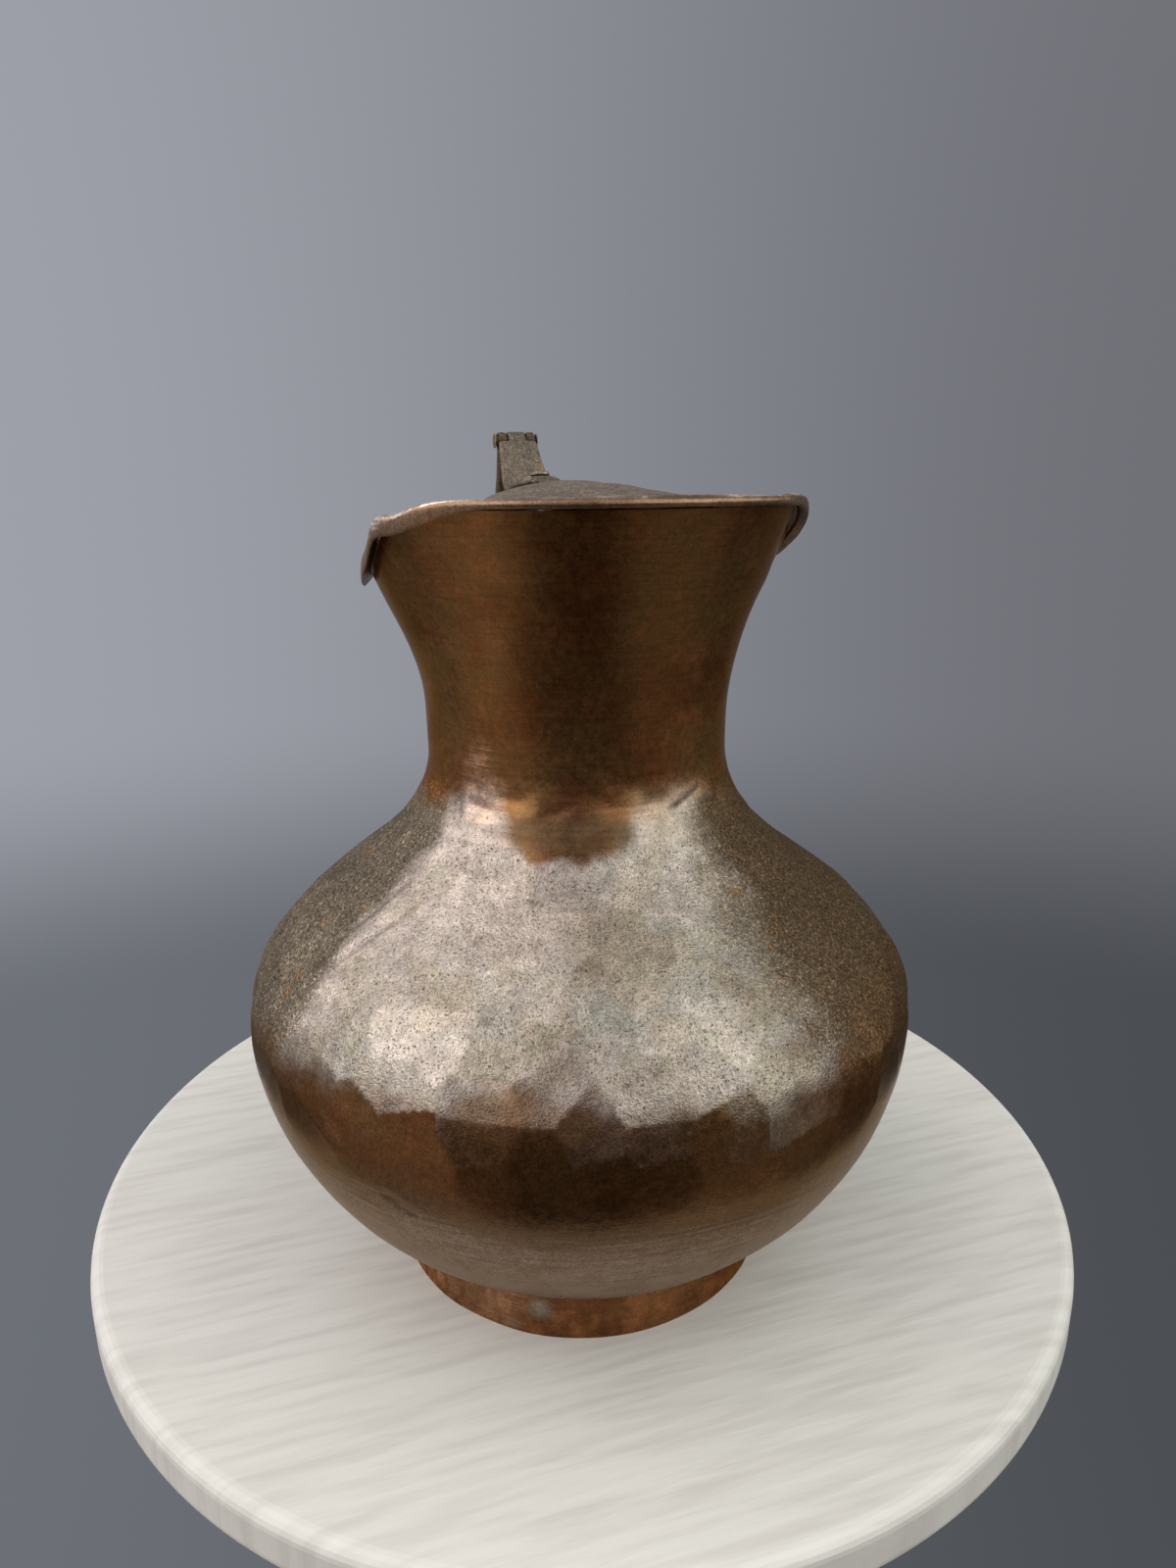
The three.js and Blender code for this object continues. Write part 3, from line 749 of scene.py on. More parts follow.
def lidPiece(look):
    radius, height = beadLine(turns)
    bent = corner(turns)
    radius = radius + mouthLook["cornerOut"] * bent
    height = height + mouthLook["cornerRise"] * bent

    def sheetRow(share, below):
        top = lidTop(turns, share) - below
        beats = waves(around(turns, radius * share, top), look["beatLength"]) - 1
        top = top + look["beatDepth"] * beats * smoothly(share, 0.0, look["beatFrom"])
        top = top + mouthLook["cornerRise"] * bent * smoothly(share, look["cornerFrom"], 1.0)
        return around(turns, radius * share, top)

    wobble = 0.5 + 0.5 * np.clip(waves(around(turns, radius, height), look["rollLength"]), -1, 1)
    thin = look["frontThin"] * (1 - smoothly(np.abs(turns - look["frontAt"]), *look["frontWide"]))
    roll = jug["beadRadius"] - look["rollWobble"] * wobble - thin
    left = within(-turns, look["lipLeft"], look["lipEnds"])
    right = within(turns, look["lipRight"], look["lipEnds"])
    lip = look["lipDrop"] * (left + look["lipRightShare"] * right)

    def rollRow(degrees):
        share = np.clip((look["lipAngles"][0] - degrees) / look["lipAngles"][1], 0, 1)
        across, up = slope(degrees, 1.0)
        hang = lip * math.sin(math.pi * share) ** 2
        return around(turns, radius + roll * across, height - thin + roll * up - hang)

    shares = np.linspace(0, 1, grid["lidRows"])[1:-1]
    first, sweep = look["rollAngles"]
    rows = [sheetRow(share, 0.0) for share in shares]
    rows += [rollRow(degrees) for degrees in np.linspace(first, first - sweep, grid["rollRows"])]
    rows += [sheetRow(share, jug["lidSheet"]) for share in shares[::-2]]
    crown = float(lidTop(np.array(0.0), 0.0))
    ends = [(0, 0, crown), (0, 0, crown - jug["lidSheet"])]
    return gridMesh("archedLid", np.stack(rows), ends=ends)


forging = {
    "weld": 0.002,           # points of the solid nearer than this are one
    "softening": 0.5,        # of the edges, in each round of smoothing
    "deepest": 1.4,          # of the waves, in depths of the unevenness
}


def forged(name, node, voxel, smoothing, uneven, length):
    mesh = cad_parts[node].data.copy()
    weld = forging["weld"] * mm
    reworked(mesh, lambda work: bmesh.ops.remove_doubles(work, verts=work.verts, dist=weld))
    piece = linked(name, mesh)
    remesh = piece.modifiers.new("evenFaces", "REMESH")
    remesh.mode = "VOXEL"
    remesh.voxel_size = voxel * mm
    soften = piece.modifiers.new("softEdges", "SMOOTH")
    soften.factor = forging["softening"]
    soften.iterations = smoothing
    shaped = bpy.data.meshes.new_from_object(piece.evaluated_get(bpy.context.evaluated_depsgraph_get()))
    piece.modifiers.clear()
    piece.data = shaped
    shaped.name = name
    shaped.materials.clear()
    normals = np.empty(len(shaped.vertices) * 3)
    shaped.vertices.foreach_get("normal", normals)
    places = placesOf(piece)
    deepest = forging["deepest"]
    push = uneven * (np.clip(waves(places, length), -deepest, deepest) - deepest) / 2
    moved = (places + normals.reshape(-1, 3) * push[:, None]) * mm
    shaped.vertices.foreach_set("co", moved.ravel())
    shaped.polygons.foreach_set("use_smooth", [True] * len(shaped.polygons))
    shaped.update()
    return piece


print("copper")

skinIor = 2.3                # of the thin brown skin on the metal

mottles = {
    # How many to a millimetre, how detailed and how rough.
    "broad": (0.045, 4.0, 0.6),
    "middling": (0.16, 5.0, 0.62),
    "clouds": (0.09, 4.0, 0.5),
    "patchy": (0.30, 4.0, 0.6),
}
grains = {
    # The same of the fine ones, as shares of the look's grainScale.
    "grain": (1.0, 2.0, 0.7),
    "coarse": (0.5, 3.0, 0.8),
    "flecks": (0.8, 1.0, 0.5),
    "dust": (0.25, 3.0, 0.6),
}
streaky = (1.0, 3.0, 0.6)    # the same of the streaks, which each look stretches
strays = {
    # The painted masks, and how far a mottle or the streaks move their edges.
    "pitted": 0.245,
    "weatheredAndShaded": 0.35,
    "brownedAndShaded": 0.7,
    "bloomed": 0.7,
    "rubbedAndHighlit": 0.9,
    "markLight": 0.0,
}
comesIn = {
    # Between which values of a mottle or mask a thing comes in, and between which shares.
    "olive": (0.38, 0.62),
    "russet": (0.46, 0.70),
    "filmWarm": (0.40, 0.60),
    "filmPink": (0.60, 0.44),
    "filmGreen": (0.54, 0.62, 0.0, 0.5),
    "weatherAndShade": (0.02, 0.98),
    "rust": (0.60, 0.68, 0.0, 0.8),
    "pinkMarkLight": (0.70, 0.95, 0.0, 0.3),
    "film": (0.05, 0.95),
    "filmClouds": (0.36, 0.64, 0.86, 1.14),
    "filmPatches": (0.36, 0.62, 0.88, 1.10),
    "filmMarkLight": (0.0, 1.0, 0.90, 1.10),
    "bandShade": (-0.05, 0.55, 0.0, 0.9),
    "bloom": (0.38, 1.10),
    "bloomPatches": (0.36, 0.62, 0.70, 1.0),
    "brownAndShade": (0.10, 0.90),
    "wornAndHighlit": (0.45, 1.05),
    "wornAndHighlitClouds": (0.35, 0.65, 0.35, 1.0),
    "wornAndHighlitPatches": (0.34, 0.56, 0.25, 1.0),
    "speck": (0.28, 0.72, -1.0, 1.0),
    "coarseSpeck": (0.34, 0.66, -1.0, 1.0),
    "paintedGlint": (0.56, 0.66),
    "pit": (0.37, 0.27),
    "dust": (0.3, 0.7, 0.88, 1.11),
    "dustRough": (0.3, 0.7, -0.03, 0.05),
    "streak": (0.3, 0.7),
    "spotCells": (0.13, 0.07),
    "spotClouds": (0.52, 0.62),
    "bumps": (0.2, 0.8),
}
coarseShare = (0.45, 1.65)   # of the coarse specks on fresh and on weathered copper, in speckles
pitShare = 0.2               # of the pits outside the film
spotShare = 0.2              # of the verdigris spots on fresh copper
spotDepth = 0.65             # how far the verdigris covers the copper
spotScale = 0.30             # cells to a millimetre in which its spots lie
bumpShare = 0.15             # of the fine relief outside the film


def copper(name, look):
    material = bpy.data.materials.new(name)
    material.use_nodes = True
    tree = material.node_tree
    shader = tree.nodes["Principled BSDF"]
    shader.inputs["IOR"].default_value = skinIor
    shader.inputs["Specular Tint"].default_value = (*look["edgeTint"], 1)
    place = addNode(tree, "TexCoord").outputs["Object"]
    inMm = addNode(tree, "VectorMath", {0: place, 1: (1 / mm,) * 3}, operation="MULTIPLY").outputs[0]
    streaked = addNode(tree, "VectorMath", {0: inMm, 1: look["streak"]}, operation="MULTIPLY").outputs[0]

    def coming(kind, value, *shares):
        return ramp(tree, value, *comesIn[kind], *shares)

    scale = look["grainScale"]
    mottle = {kind: noise(tree, inMm, *values) for kind, values in mottles.items()}
    grain = {kind: noise(tree, inMm, scale * share, *rest) for kind, (share, *rest) in grains.items()}
    streaks = noise(tree, streaked, *streaky)
    mask = {kind: addNode(tree, "Attribute", attribute_name=kind).outputs["Fac"] for kind in strays}
    wander, lines = (maths(tree, "SUBTRACT", value, 0.5) for value in (mottle["middling"], streaks))

    def strayed(kind, by=wander):
        return maths(tree, "MULTIPLY_ADD", by, strays[kind], mask[kind])

    # Where each finish lies.
    # The coarse flanks, whose darker colour is partly painted shade.
    old = coming("weatherAndShade", strayed("weatheredAndShaded"))
    fresh = maths(tree, "SUBTRACT", 1.0, old)
    onFilm = times(tree, coming("film", strayed("pitted")), look["filmShare"])
    # A band of painted shade above the grey underside.
    bandShade = coming("bandShade", strayed("bloomed", lines))
    bloom = coming("bloom", strayed("bloomed", lines))
    bloom = times(tree, bloom, coming("bloomPatches", mottle["middling"]))
    # Brown patina, and painted shade down the front's middle and on the right flank.
    brownAndShade = coming("brownAndShade", strayed("brownedAndShaded"))
    # Worn bare copper, and painted highlights about the neck's root and on the lid's roll.
    wornAndHighlit = times(
        tree,
        coming("wornAndHighlit", strayed("rubbedAndHighlit", lines)),
        coming("wornAndHighlitClouds", mottle["middling"]),
        coming("wornAndHighlitPatches", mottle["patchy"]),
        look["wornAndHighlitShare"],
    )

    # The film's colours, then the bare copper's, then what lies on both.
    film = look["film"]
    for kind, share in (
        ("filmWarm", coming("filmWarm", mottle["clouds"])),
        ("filmPink", coming("filmPink", mottle["broad"], 0.0, look["pinkShare"])),
        ("filmGreen", coming("filmGreen", mottle["middling"])),
        ("weatherAndShade", old),
        ("rust", times(tree, old, coming("rust", mottle["middling"]))),
        ("filmPink", times(tree, coming("pinkMarkLight", mask["markLight"]), fresh)),
    ):
        film = mixed(tree, share, film, look[kind])
    # Each hammer mark's painted highlight and shade.
    film = scaled(tree, film, times(
        tree,
        coming("filmClouds", mottle["middling"]),
        coming("filmPatches", mottle["patchy"]),
        coming("filmMarkLight", mask["markLight"]),
    ))
    colour = mixed(tree, coming("olive", mottle["broad"]), look["dark"], look["olive"])
    for over, share in (
        (look["russet"], coming("russet", mottle["middling"], 0.0, look["russetShare"])),
        (film, onFilm),
        (look["bandShade"], bandShade),
        (look["bloom"], bloom),
        (look["brownAndShade"], times(tree, brownAndShade, look["brownAndShadeShare"])),
        (look["wornAndHighlit"], wornAndHighlit),
    ):
        colour = mixed(tree, share, colour, over)

    # Fine light and dark specks, painted glints, pits, dust and streaks.
    contrast = between(tree, old, look["speckle"], 2 * look["speckle"])
    speck = maths(tree, "MULTIPLY_ADD", coming("speck", grain["grain"]), contrast, 1.0)
    contrast = between(tree, old, *(share * look["speckle"] for share in coarseShare))
    speck = maths(tree, "MULTIPLY_ADD", coming("coarseSpeck", grain["coarse"]), contrast, speck)
    # Painted glints on the coarse grains of the flanks.
    paintedGlint = times(tree, coming("paintedGlint", grain["coarse"]), old)
    speck = maths(tree, "MULTIPLY_ADD", paintedGlint, look["paintedGlint"], speck)
    pit = times(tree, coming("pit", grain["flecks"]), between(tree, mask["pitted"], pitShare, 1.0))
    colour = scaled(tree, colour, times(
        tree,
        speck,
        between(tree, pit, 1.0, 1 - look["pitTone"]),
        coming("dust", grain["dust"]),
        coming("streak", streaks, 1 - look["streakTone"], 1 + look["streakTone"]),
    ))
    cells = addNode(tree, "TexVoronoi", {"Vector": inMm, "Scale": spotScale}).outputs["Distance"]
    spot = times(tree, coming("spotCells", cells), coming("spotClouds", mottle["clouds"]))
    spot = times(tree, spot, between(tree, old, spotShare, 1.0))
    colour = mixed(tree, times(tree, spot, spotDepth), colour, look["verdigris"])
    tree.links.new(colour, shader.inputs["Base Color"])

    metal = times(tree, maths(tree, "SUBTRACT", 1.0, spot), look["metal"])
    tree.links.new(metal, shader.inputs["Metallic"])
    rough = maths(tree, "ADD", coming("dustRough", grain["dust"]), look["rough"])
    for kind, share in (("pitted", mask["pitted"]), ("brownAndShade", brownAndShade), ("old", old), ("bloom", bloom)):
        rough = maths(tree, "MULTIPLY_ADD", share, look[kind + "Rough"], rough)
    tree.links.new(rough, shader.inputs["Roughness"])

    relief = maths(tree, "SUBTRACT", coming("bumps", grain["grain"]), pit)
    relief = times(tree, relief, between(tree, mask["pitted"], bumpShare, 1.0))
    relief = maths(tree, "MULTIPLY_ADD", grain["coarse"], times(tree, old, look["crust"]), relief)
    normal = {}
    for kind, height in (("pit", relief), ("streak", streaks), ("lump", mottle["middling"])):
        sockets = {"Height": height, "Distance": look[kind + "Depth"] * mm, "Strength": 1.0, **normal}
        normal = {"Normal": addNode(tree, "Bump", sockets).outputs[0]}
    tree.links.new(normal["Normal"], shader.inputs["Normal"])
    return material


bellyLook = {
    "dark": (0.132, 0.053, 0.020),
    "olive": (0.162, 0.080, 0.030),
    "russet": (0.245, 0.098, 0.038),
    "russetShare": 0.55,
    "film": (0.285, 0.270, 0.236),
    "filmWarm": (0.315, 0.266, 0.213),
    "filmPink": (0.385, 0.325, 0.292),
    "pinkShare": 0.85,
    "filmGreen": (0.215, 0.208, 0.150),
    "filmShare": 1.0,
    # the flanks' colour, darker partly as painted shade
    "weatherAndShade": (0.156, 0.130, 0.098),
    "rust": (0.260, 0.130, 0.052),
    # painted shade: the darker band just below the widest part
    "bandShade": (0.094, 0.058, 0.036),
    "bloom": (0.262, 0.206, 0.178),
    "verdigris": (0.110, 0.160, 0.140),
    # dark brown for patina and for painted shade
    "brownAndShade": (0.085, 0.050, 0.024),
    "brownAndShadeShare": 0.85,
    "wornAndHighlit": (0.64, 0.44, 0.36),
    "wornAndHighlitShare": 0.85,
    "edgeTint": (0.66, 0.54, 0.42),
    "metal": 0.85,
    "rough": 0.22,
    "pittedRough": 0.07,     # what each finish adds to that
    "brownAndShadeRough": 0.08,
    "oldRough": 0.16,
    "bloomRough": 0.10,
    "speckle": 0.22,
    "paintedGlint": 1.0,            # painted glints: bright grains on the flanks
    "crust": 2.0,            # coarser relief of the flanks
    "pitTone": 0.60,
    "grainScale": 2.7,       # grains to a millimetre
    "pitDepth": 0.07,
    "streak": (0.06, 0.06, 1.4),  # streaks to a millimetre, across and up
    "streakTone": 0.07,
    "streakDepth": 0.008,
    "lumpDepth": 0.08,
}
neckLook = dict(
    bellyLook,
    dark=(0.185, 0.068, 0.024),
    olive=(0.205, 0.108, 0.038),
    russet=(0.330, 0.130, 0.052),
    edgeTint=(0.74, 0.52, 0.36),
    wornAndHighlit=(0.60, 0.38, 0.28),
    rough=0.28,
    speckle=0.12,
    streak=(0.07, 0.07, 1.6),
    streakTone=0.14,
    streakDepth=0.014,
    pitDepth=0.03,
)
footLook = dict(
    neckLook,
    dark=(0.120, 0.044, 0.015),
    olive=(0.190, 0.078, 0.028),
    russet=(0.345, 0.132, 0.048),
    wornAndHighlitShare=0.65,
    wornAndHighlit=(0.44, 0.25, 0.15),
    brownAndShade=(0.230, 0.200, 0.165),
    brownAndShadeShare=0.90,
    speckle=0.14,
)
lidCopperLook = dict(
    bellyLook,
    dark=(0.170, 0.090, 0.045),
    olive=(0.210, 0.130, 0.080),
    russet=(0.330, 0.170, 0.100),
    film=(0.268, 0.236, 0.204),
    filmWarm=(0.310, 0.245, 0.205),
    filmPink=(0.400, 0.310, 0.265),
    filmGreen=(0.170, 0.150, 0.120),
    # near white: worn copper with a painted highlight on the roll
    wornAndHighlit=(0.98, 0.84, 0.75),
    wornAndHighlitShare=1.3,
    edgeTint=(0.85, 0.75, 0.66),
    rough=0.30,
    metal=0.75,
)
strapLook = dict(
    lidCopperLook,
    dark=(0.085, 0.066, 0.050),
    olive=(0.135, 0.112, 0.090),
    russet=(0.240, 0.150, 0.110),
    film=(0.085, 0.072, 0.058),
    filmWarm=(0.115, 0.084, 0.066),
    filmPink=(0.150, 0.110, 0.088),
    filmGreen=(0.090, 0.080, 0.060),
    rough=0.45,
)
pinLook = dict(strapLook, dark=(0.05, 0.045, 0.04), olive=(0.08, 0.07, 0.06), russet=(0.12, 0.07, 0.045))


def dress(piece, material, body, slot, *nodes):
    piece.data.materials.append(material)
    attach(piece, body)
    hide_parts(*nodes)


# Painted shade and painted highlights are laid on here too, with the wear and patina.
print("wear and patina")

rubbedAndHighlitPlaces = [
    # Each patch: an angle, a height, a radius, widths along and up, and a share. Worn bare copper; those
    # about the neck's root are also a painted highlight.
    (-56, 112.5, 33.6, 9.0, 6.0, 0.48),
    (-25, 101.0, 40.9, 7.0, 3.0, 0.50),
    (-49, 116.0, 32.3, 5.0, 7.0, 0.72),
    (-60, 120.5, 32.0, 5.0, 6.0, 0.52),
    (-41, 107.5, 36.2, 4.5, 3.5, 0.50),
    (-52, 127.0, 32.4, 4.0, 5.0, 0.42),
    (6, 112.5, 33.6, 7.0, 4.0, 0.66),
    (24, 110.5, 34.5, 5.0, 4.0, 0.55),
    (-68, 76.0, 69.0, 5.0, 5.0, 0.6),
    (-15, 80.5, 64.5, 3.0, 2.5, 0.5),
    (-62, 62.0, 73.0, 5.0, 12.0, 0.45),
]
brownedAndShadedPlaces = [
    # The same of the brown patches in the film: partly brown patina, partly painted shade, those down the
    # front's middle standing in for a darker reflection.
    (-21, 109.6, 34.9, 11.5, 4.6, 1.0),
    (-36, 110.0, 34.8, 4.0, 3.0, 0.45),
    (-6, 109.5, 34.9, 4.0, 3.4, 0.55),
    (-15, 90.5, 54.2, 6.5, 8.0, 0.50),
    (-20, 80.0, 66.5, 6.5, 6.5, 0.55),
    (-9, 77.5, 68.0, 6.0, 4.5, 0.45),
    (7, 89.0, 56.0, 8.0, 7.0, 0.36),
    (12, 81.5, 64.6, 8.0, 5.0, 0.34),
    (-31, 73.0, 71.2, 7.0, 2.8, 0.62),
    (-24, 75.0, 70.0, 3.5, 2.4, 0.40),
    (-3.3, 71.0, 72.0, 5.5, 2.6, 0.72),
    (16, 76.0, 69.4, 5.0, 3.0, 0.40),
    (44, 76.0, 69.4, 9.0, 6.0, 0.50),
    (-12, 49.0, 71.0, 22.0, 4.5, 0.34),
    (-52, 84.0, 61.5, 5.0, 4.0, 0.28),
    (-38, 95.0, 48.0, 5.0, 3.0, 0.26),
    (-76, 80.0, 66.5, 6.0, 6.0, 0.35),
]
filmEdge = [
    # Where the pitted film ends on the belly: an angle and a height.
    (-180, 71), (-110, 70), (-88, 70.5), (-78, 70.5), (-70, 71.3), (-58, 71.6), (-50, 72.6), (-44, 72.6),
    (-37, 73.2), (-32, 75.0), (-26.5, 76.8), (-23, 75.4), (-18, 74.0), (-14, 72.9), (-8, 73.2), (-3, 73.4),
    (1, 72.6), (4, 68.6), (9, 68.8), (14, 70.4), (20, 70.6), (27, 75.0), (34, 80.0), (60, 81), (110, 78),
    (180, 71),
]
filmTop = [
    # Where the film ends on the neck: an angle, a height and how gradually.
    (-180, 111, 4), (-76, 111, 4), (-66, 113, 5), (-58, 115.5, 7), (-48, 116, 7), (-42, 112, 5),
    (-37, 107.5, 3), (-32, 105.4, 2.5), (-16, 104.8, 2.5), (-8, 106, 3), (-3, 109, 6), (3, 113, 7),
    (14, 115, 8), (24, 115, 7), (36, 112, 5), (60, 111, 4), (180, 111, 4),
]
filming = {
    "stray": 0.5,            # how far the film's lower edge wanders
    "topStray": 1.0,         # and its upper edge
    "strayLength": 6.0,
    "soft": 1.7,
    "softSides": 5.0,        # on the flanks
    "softBelow": 1.3,        # how far that reaches below the edge, the rest above
    "sideRight": (14, 26),   # angles between which the flanks set in
    "sideLeft": (46, 60),
    "facetShare": 0.70,      # how far the edge follows whole hammer marks
    "facetStray": 0.16,      # how unlike each other these are
    "facetReach": 16.0,      # how near to the edge
    "facetBelow": 8.0,       # from where a mark is on the film, and the span till it wholly is
    "facetSpan": 11.0,
    "facetLoss": 0.6,        # of the marks' share on the flanks
}
markLighting = {
    "middle": 0.5,
    "stray": 0.5,            # how unlike each other the hammer marks' painted highlight and shade are
    "heights": (60, 104),    # of the beaten part
}
blooming = {
    "heights": (33, 62),     # where the grey of the underside gives way, through a darker band of painted shade
    "lift": 5.0,             # how much higher it reaches on both flanks
    "left": (28, 45),
    "right": (5, 25),
    "back": (110, 160),
}
darkening = {
    # The dark and coarse flanks of the shoulder. Their coarse grain is the copper's own; their darker colour,
    # with its gradual fading in and its brown on the right, is painted shade where the highlight falls away.
    "left": -67.0,           # angle beyond which the left one begins
    "leftSoft": (-4, 7),
    "leftStray": 2.0,
    "leftLength": 9.0,
    "heights": (70, 80, 90, 105),
    "from": (16, 13, 6, 13),  # angles between which the right one darkens with painted shade
    "to": (28, 28, 33, 36),
    "stray": 2.0,
    "length": 12.0,
    "setsIn": (62, 74),
    "diesAway": (110, 119),
    "nearShare": 0.80,       # of its painted shade near the spout
    "fullFrom": (30, 55),
    "back": (120, 170),
}


def anglesOf(places):
    return np.degrees(np.arctan2(places[:, 0], -places[:, 1]))


markStray = marked.uniform(-1, 1, 4000)      # one for each hammer mark, and some over


def facetOf(places):
    found = [marks.find(place) for place in places]
    return np.array([[middle[2], markStray[i % len(markStray)]] for middle, i, _ in found]).reshape(-1, 2).T


def paintFilm(piece, places, look):
    angles, heights = anglesOf(places), places[:, 2]
    wander = waves(places, look["strayLength"])
    low = np.interp(angles, *np.transpose(filmEdge)) + look["stray"] * wander
    side = np.maximum(smoothly(angles, *look["sideRight"]), smoothly(-angles, *look["sideLeft"]))
    soft = look["soft"] + (look["softSides"] - look["soft"]) * side
    film = smoothly(heights, low - look["softBelow"] * soft, low + (2 - look["softBelow"]) * soft)
    near = np.abs(heights - low) < look["facetReach"]
    facetHeight, stray = facetOf(places[near])
    onMark = (facetHeight - low[near] + look["facetBelow"]) / look["facetSpan"]
    onMark = np.clip(onMark + look["facetStray"] * stray, 0, 1)
    share = look["facetShare"] * (1 - look["facetLoss"] * side[near])
    film[near] = (1 - share) * film[near] + share * onMark
    turn, top, fading = np.transpose(filmTop)
    top = np.interp(angles, turn, top) + look["topStray"] * wander
    fading = np.interp(angles, turn, fading)
    paint(piece, "pitted", film * (1 - smoothly(heights, top - fading, top + fading)))


# Painted highlight and shade: some hammer marks' film lighter and pinker, others darker, as each catches the
# light on its own.
def paintMarkLight(piece, places, look):
    tones = np.full(len(places), look["middle"])
    low, high = look["heights"]
    beatenHere = (places[:, 2] > low) & (places[:, 2] < high)
    tones[beatenHere] += look["stray"] * facetOf(places[beatenHere])[1]
    paint(piece, "markLight", tones)


def paintBloom(piece, places, look):
    angles, heights = anglesOf(places), places[:, 2]
    lift = smoothly(-angles, *look["left"]) + smoothly(angles, *look["right"])
    lift = look["lift"] * lift * (1 - smoothly(np.abs(angles), *look["back"]))
    paint(piece, "bloomed", 1 - smoothly(heights - lift, *look["heights"]))


def paintFlanks(piece, places, look):
    angles, heights = anglesOf(places), places[:, 2]
    edge = look["left"] + look["leftStray"] * waves(places, look["leftLength"])
    left = smoothly(edge - angles, *look["leftSoft"])
    start, end = (np.interp(heights, look["heights"], look[key]) for key in ("from", "to"))
    wander = look["stray"] * waves(places, look["length"])
    right = np.clip((angles - start - wander) / (end - start), 0, 1)
    onShoulder = within(heights, look["setsIn"], look["diesAway"])
    paint(piece, "weatheredAndShaded", np.maximum(left, right) * onShoulder)
    # The right flank's painted shade, laid on with the brown patches.
    dark = look["nearShare"] + (1 - look["nearShare"]) * smoothly(angles, *look["fullFrom"])
    return dark * right * (1 - smoothly(angles, *look["back"])) * onShoulder


def patchesAt(places, patches):
    total = np.zeros(len(places))
    for turn, height, radius, wide, tall, share in patches:
        away = places - around(turn, radius, height)
        flat = np.hypot(away[:, 0], away[:, 1]) / wide
        total += share * np.exp(-(flat ** 2) - (away[:, 2] / tall) ** 2)
    return total


def paintSheet(piece):
    places = placesOf(piece)
    paintFilm(piece, places, filming)
    paintMarkLight(piece, places, markLighting)
    paintBloom(piece, places, blooming)
    flankShade = paintFlanks(piece, places, darkening)
    paint(piece, "rubbedAndHighlit", patchesAt(places, rubbedAndHighlitPlaces))
    paint(piece, "brownedAndShaded", patchesAt(places, brownedAndShadedPlaces) + flankShade)


footWear = {
    "from": (24, 44),        # angles between which the worn copper sets in, left of the spout
    "to": (75, 100),
    "solder": [
        (-30.2, 6.1, 42.0, 3.2, 2.6, 0.85), (-50, 9.5, 41.6, 2.0, 1.6, 0.8), (-38, 1.5, 42.6, 2.2, 1.4, 0.7),
    ],
}


def paintFoot(piece, look):
    places = placesOf(piece)
    paint(piece, "rubbedAndHighlit", within(-anglesOf(places), look["from"], look["to"]))
    paint(piece, "brownedAndShaded", patchesAt(places, look["solder"]))


lidWear = {
    "pitted": 0.9,           # of the lid beside its rolled edge
    "weatheredAndShaded": 0.55,
    "beadReach": (1.0, 2.5),  # how far from the roll's middle line it counts as the roll
    "beadTop": (-0.1, 0.9),  # heights over that line between which it is worn and painted with a highlight
    "front": 0.78,           # how bright its wear and painted highlight are, and what the sides add
    "left": 0.70,
    "leftFrom": (30, 46),
    "leftLoss": 0.7,         # of the left side's share farther round
    "lossFrom": (54, 66),
    "right": 0.35,
    "rightFrom": (10, 30),
    "back": 0.45,
    "backFrom": (85, 115),
    "patches": [(-4, 171.5, 16.0, 7.0, 9.0, 0.42)],
}


def paintLid(piece, look):
    places = placesOf(piece)
    angles = anglesOf(places)
    radius, height = beadLine(angles)
    onBead = 1 - smoothly(np.abs(np.hypot(places[:, 0], places[:, 1]) - radius), *look["beadReach"])
    overBead = smoothly(places[:, 2] - height, *look["beadTop"])
    # The roll's top carries a painted highlight besides its wear, brightest left of the spout.
    left = smoothly(-angles, *look["leftFrom"])
    left = left * (1 - look["leftLoss"] * smoothly(-angles, *look["lossFrom"]))
    bright = look["front"] + look["left"] * left + look["right"] * smoothly(angles, *look["rightFrom"])
    bright = bright - (bright - look["back"]) * smoothly(np.abs(angles), *look["backFrom"])
    for kind in ("pitted", "weatheredAndShaded"):
        paint(piece, kind, look[kind] * (1 - onBead))
    paint(piece, "rubbedAndHighlit", onBead * overBead * bright + patchesAt(places, look["patches"]))


belly = bellyPiece()
paintSheet(belly)
dress(belly, copper("bellyCopper", bellyLook), "jug", "belly_copper", "belly")

neck = neckPiece(mouthLook)
paintSheet(neck)
dress(neck, copper("neckCopper", neckLook), "jug", "neck_copper", "neck")

foot = footPiece(footWobble)
paintFoot(foot, footWear)
dress(foot, copper("footCopper", footLook), "jug", "foot_copper", "foot_ring")

lid = lidPiece(lidLook)
paintLid(lid, lidWear)
dress(lid, copper("lidCopper", lidCopperLook), "lid", "lid_copper", "lid")

print("straps, pin and rivets")

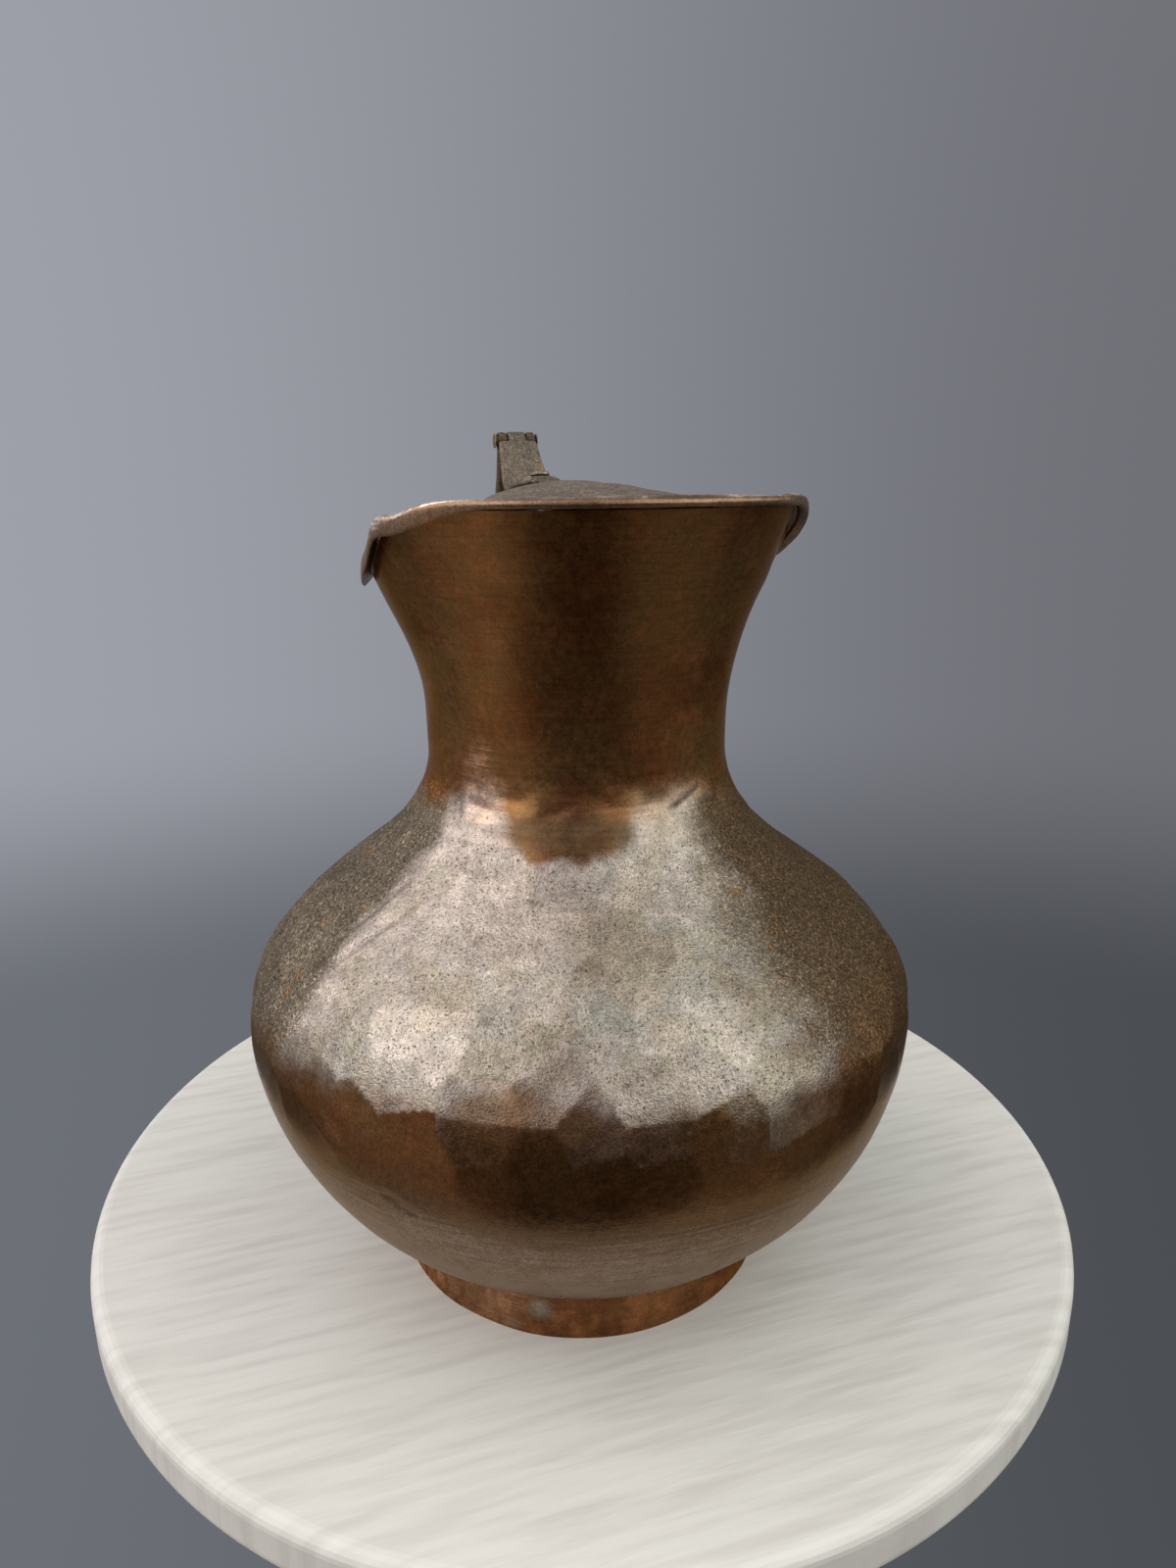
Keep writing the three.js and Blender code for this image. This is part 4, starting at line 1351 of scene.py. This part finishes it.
forgedWear = {
    "pitted": 0.8,
    "weatheredAndShaded": 0.5,
    "brownedAndShaded": (150, 170),   # heights between which the handle darkens upwards, as painted shade
    "shank": 5.1,            # half length of the pin between its heads
    "headShare": 0.35,       # of the pin's heads, along it
}
rivetFaces = (0.16, 4, 0.06, 3.0)
forgedPieces = [
    # Name, node, body, slot, and: size of the faces, smoothing, unevenness and its length.
    ("strapHandle", "handle", "jug", "strap_copper", (0.40, 6, 0.12, 7.0)),
    ("lidStrap", "lid_strap", "lid", "strap_copper", (0.26, 5, 0.10, 6.0)),
    ("hingePin", "hinge_pin", "jug", "pin_iron", (0.16, 3, 0.0, 3.0)),
    ("rivetUpper1", "handle_rivet_upper_1", "jug", "rivet_copper", rivetFaces),
    ("rivetUpper2", "handle_rivet_upper_2", "jug", "rivet_copper", rivetFaces),
    ("rivetLower1", "handle_rivet_lower_1", "jug", "rivet_copper", rivetFaces),
    ("rivetLower2", "handle_rivet_lower_2", "jug", "rivet_copper", rivetFaces),
    ("lidRivet1", "lid_rivet_1", "lid", "rivet_copper", rivetFaces),
    ("lidRivet2", "lid_rivet_2", "lid", "rivet_copper", rivetFaces),
]
finishes = {
    "strap_copper": copper("strapCopper", strapLook),
    "rivet_copper": copper("rivetCopper", lidCopperLook),
    "pin_iron": copper("pinIron", pinLook),
}


def shortenPin(piece, look):
    places = placesOf(piece)
    away = np.abs(places[:, 0])
    short = np.minimum(away, look["shank"] + look["headShare"] * (away - look["shank"]))
    places[:, 0] = np.sign(places[:, 0]) * short
    piece.data.vertices.foreach_set("co", (places * mm).ravel())


for name, node, body, slotName, faces in forgedPieces:
    piece = forged(name, node, *faces)
    for kind in ("pitted", "weatheredAndShaded"):
        paint(piece, kind, np.full(len(piece.data.vertices), forgedWear[kind]))
    if name == "hingePin":
        shortenPin(piece, forgedWear)
    if name == "strapHandle":
        # Painted shade: the handle darker towards its top.
        paint(piece, "brownedAndShaded", smoothly(placesOf(piece)[:, 2], *forgedWear["brownedAndShaded"]))
    dress(piece, finishes[slotName], body, slotName, node)
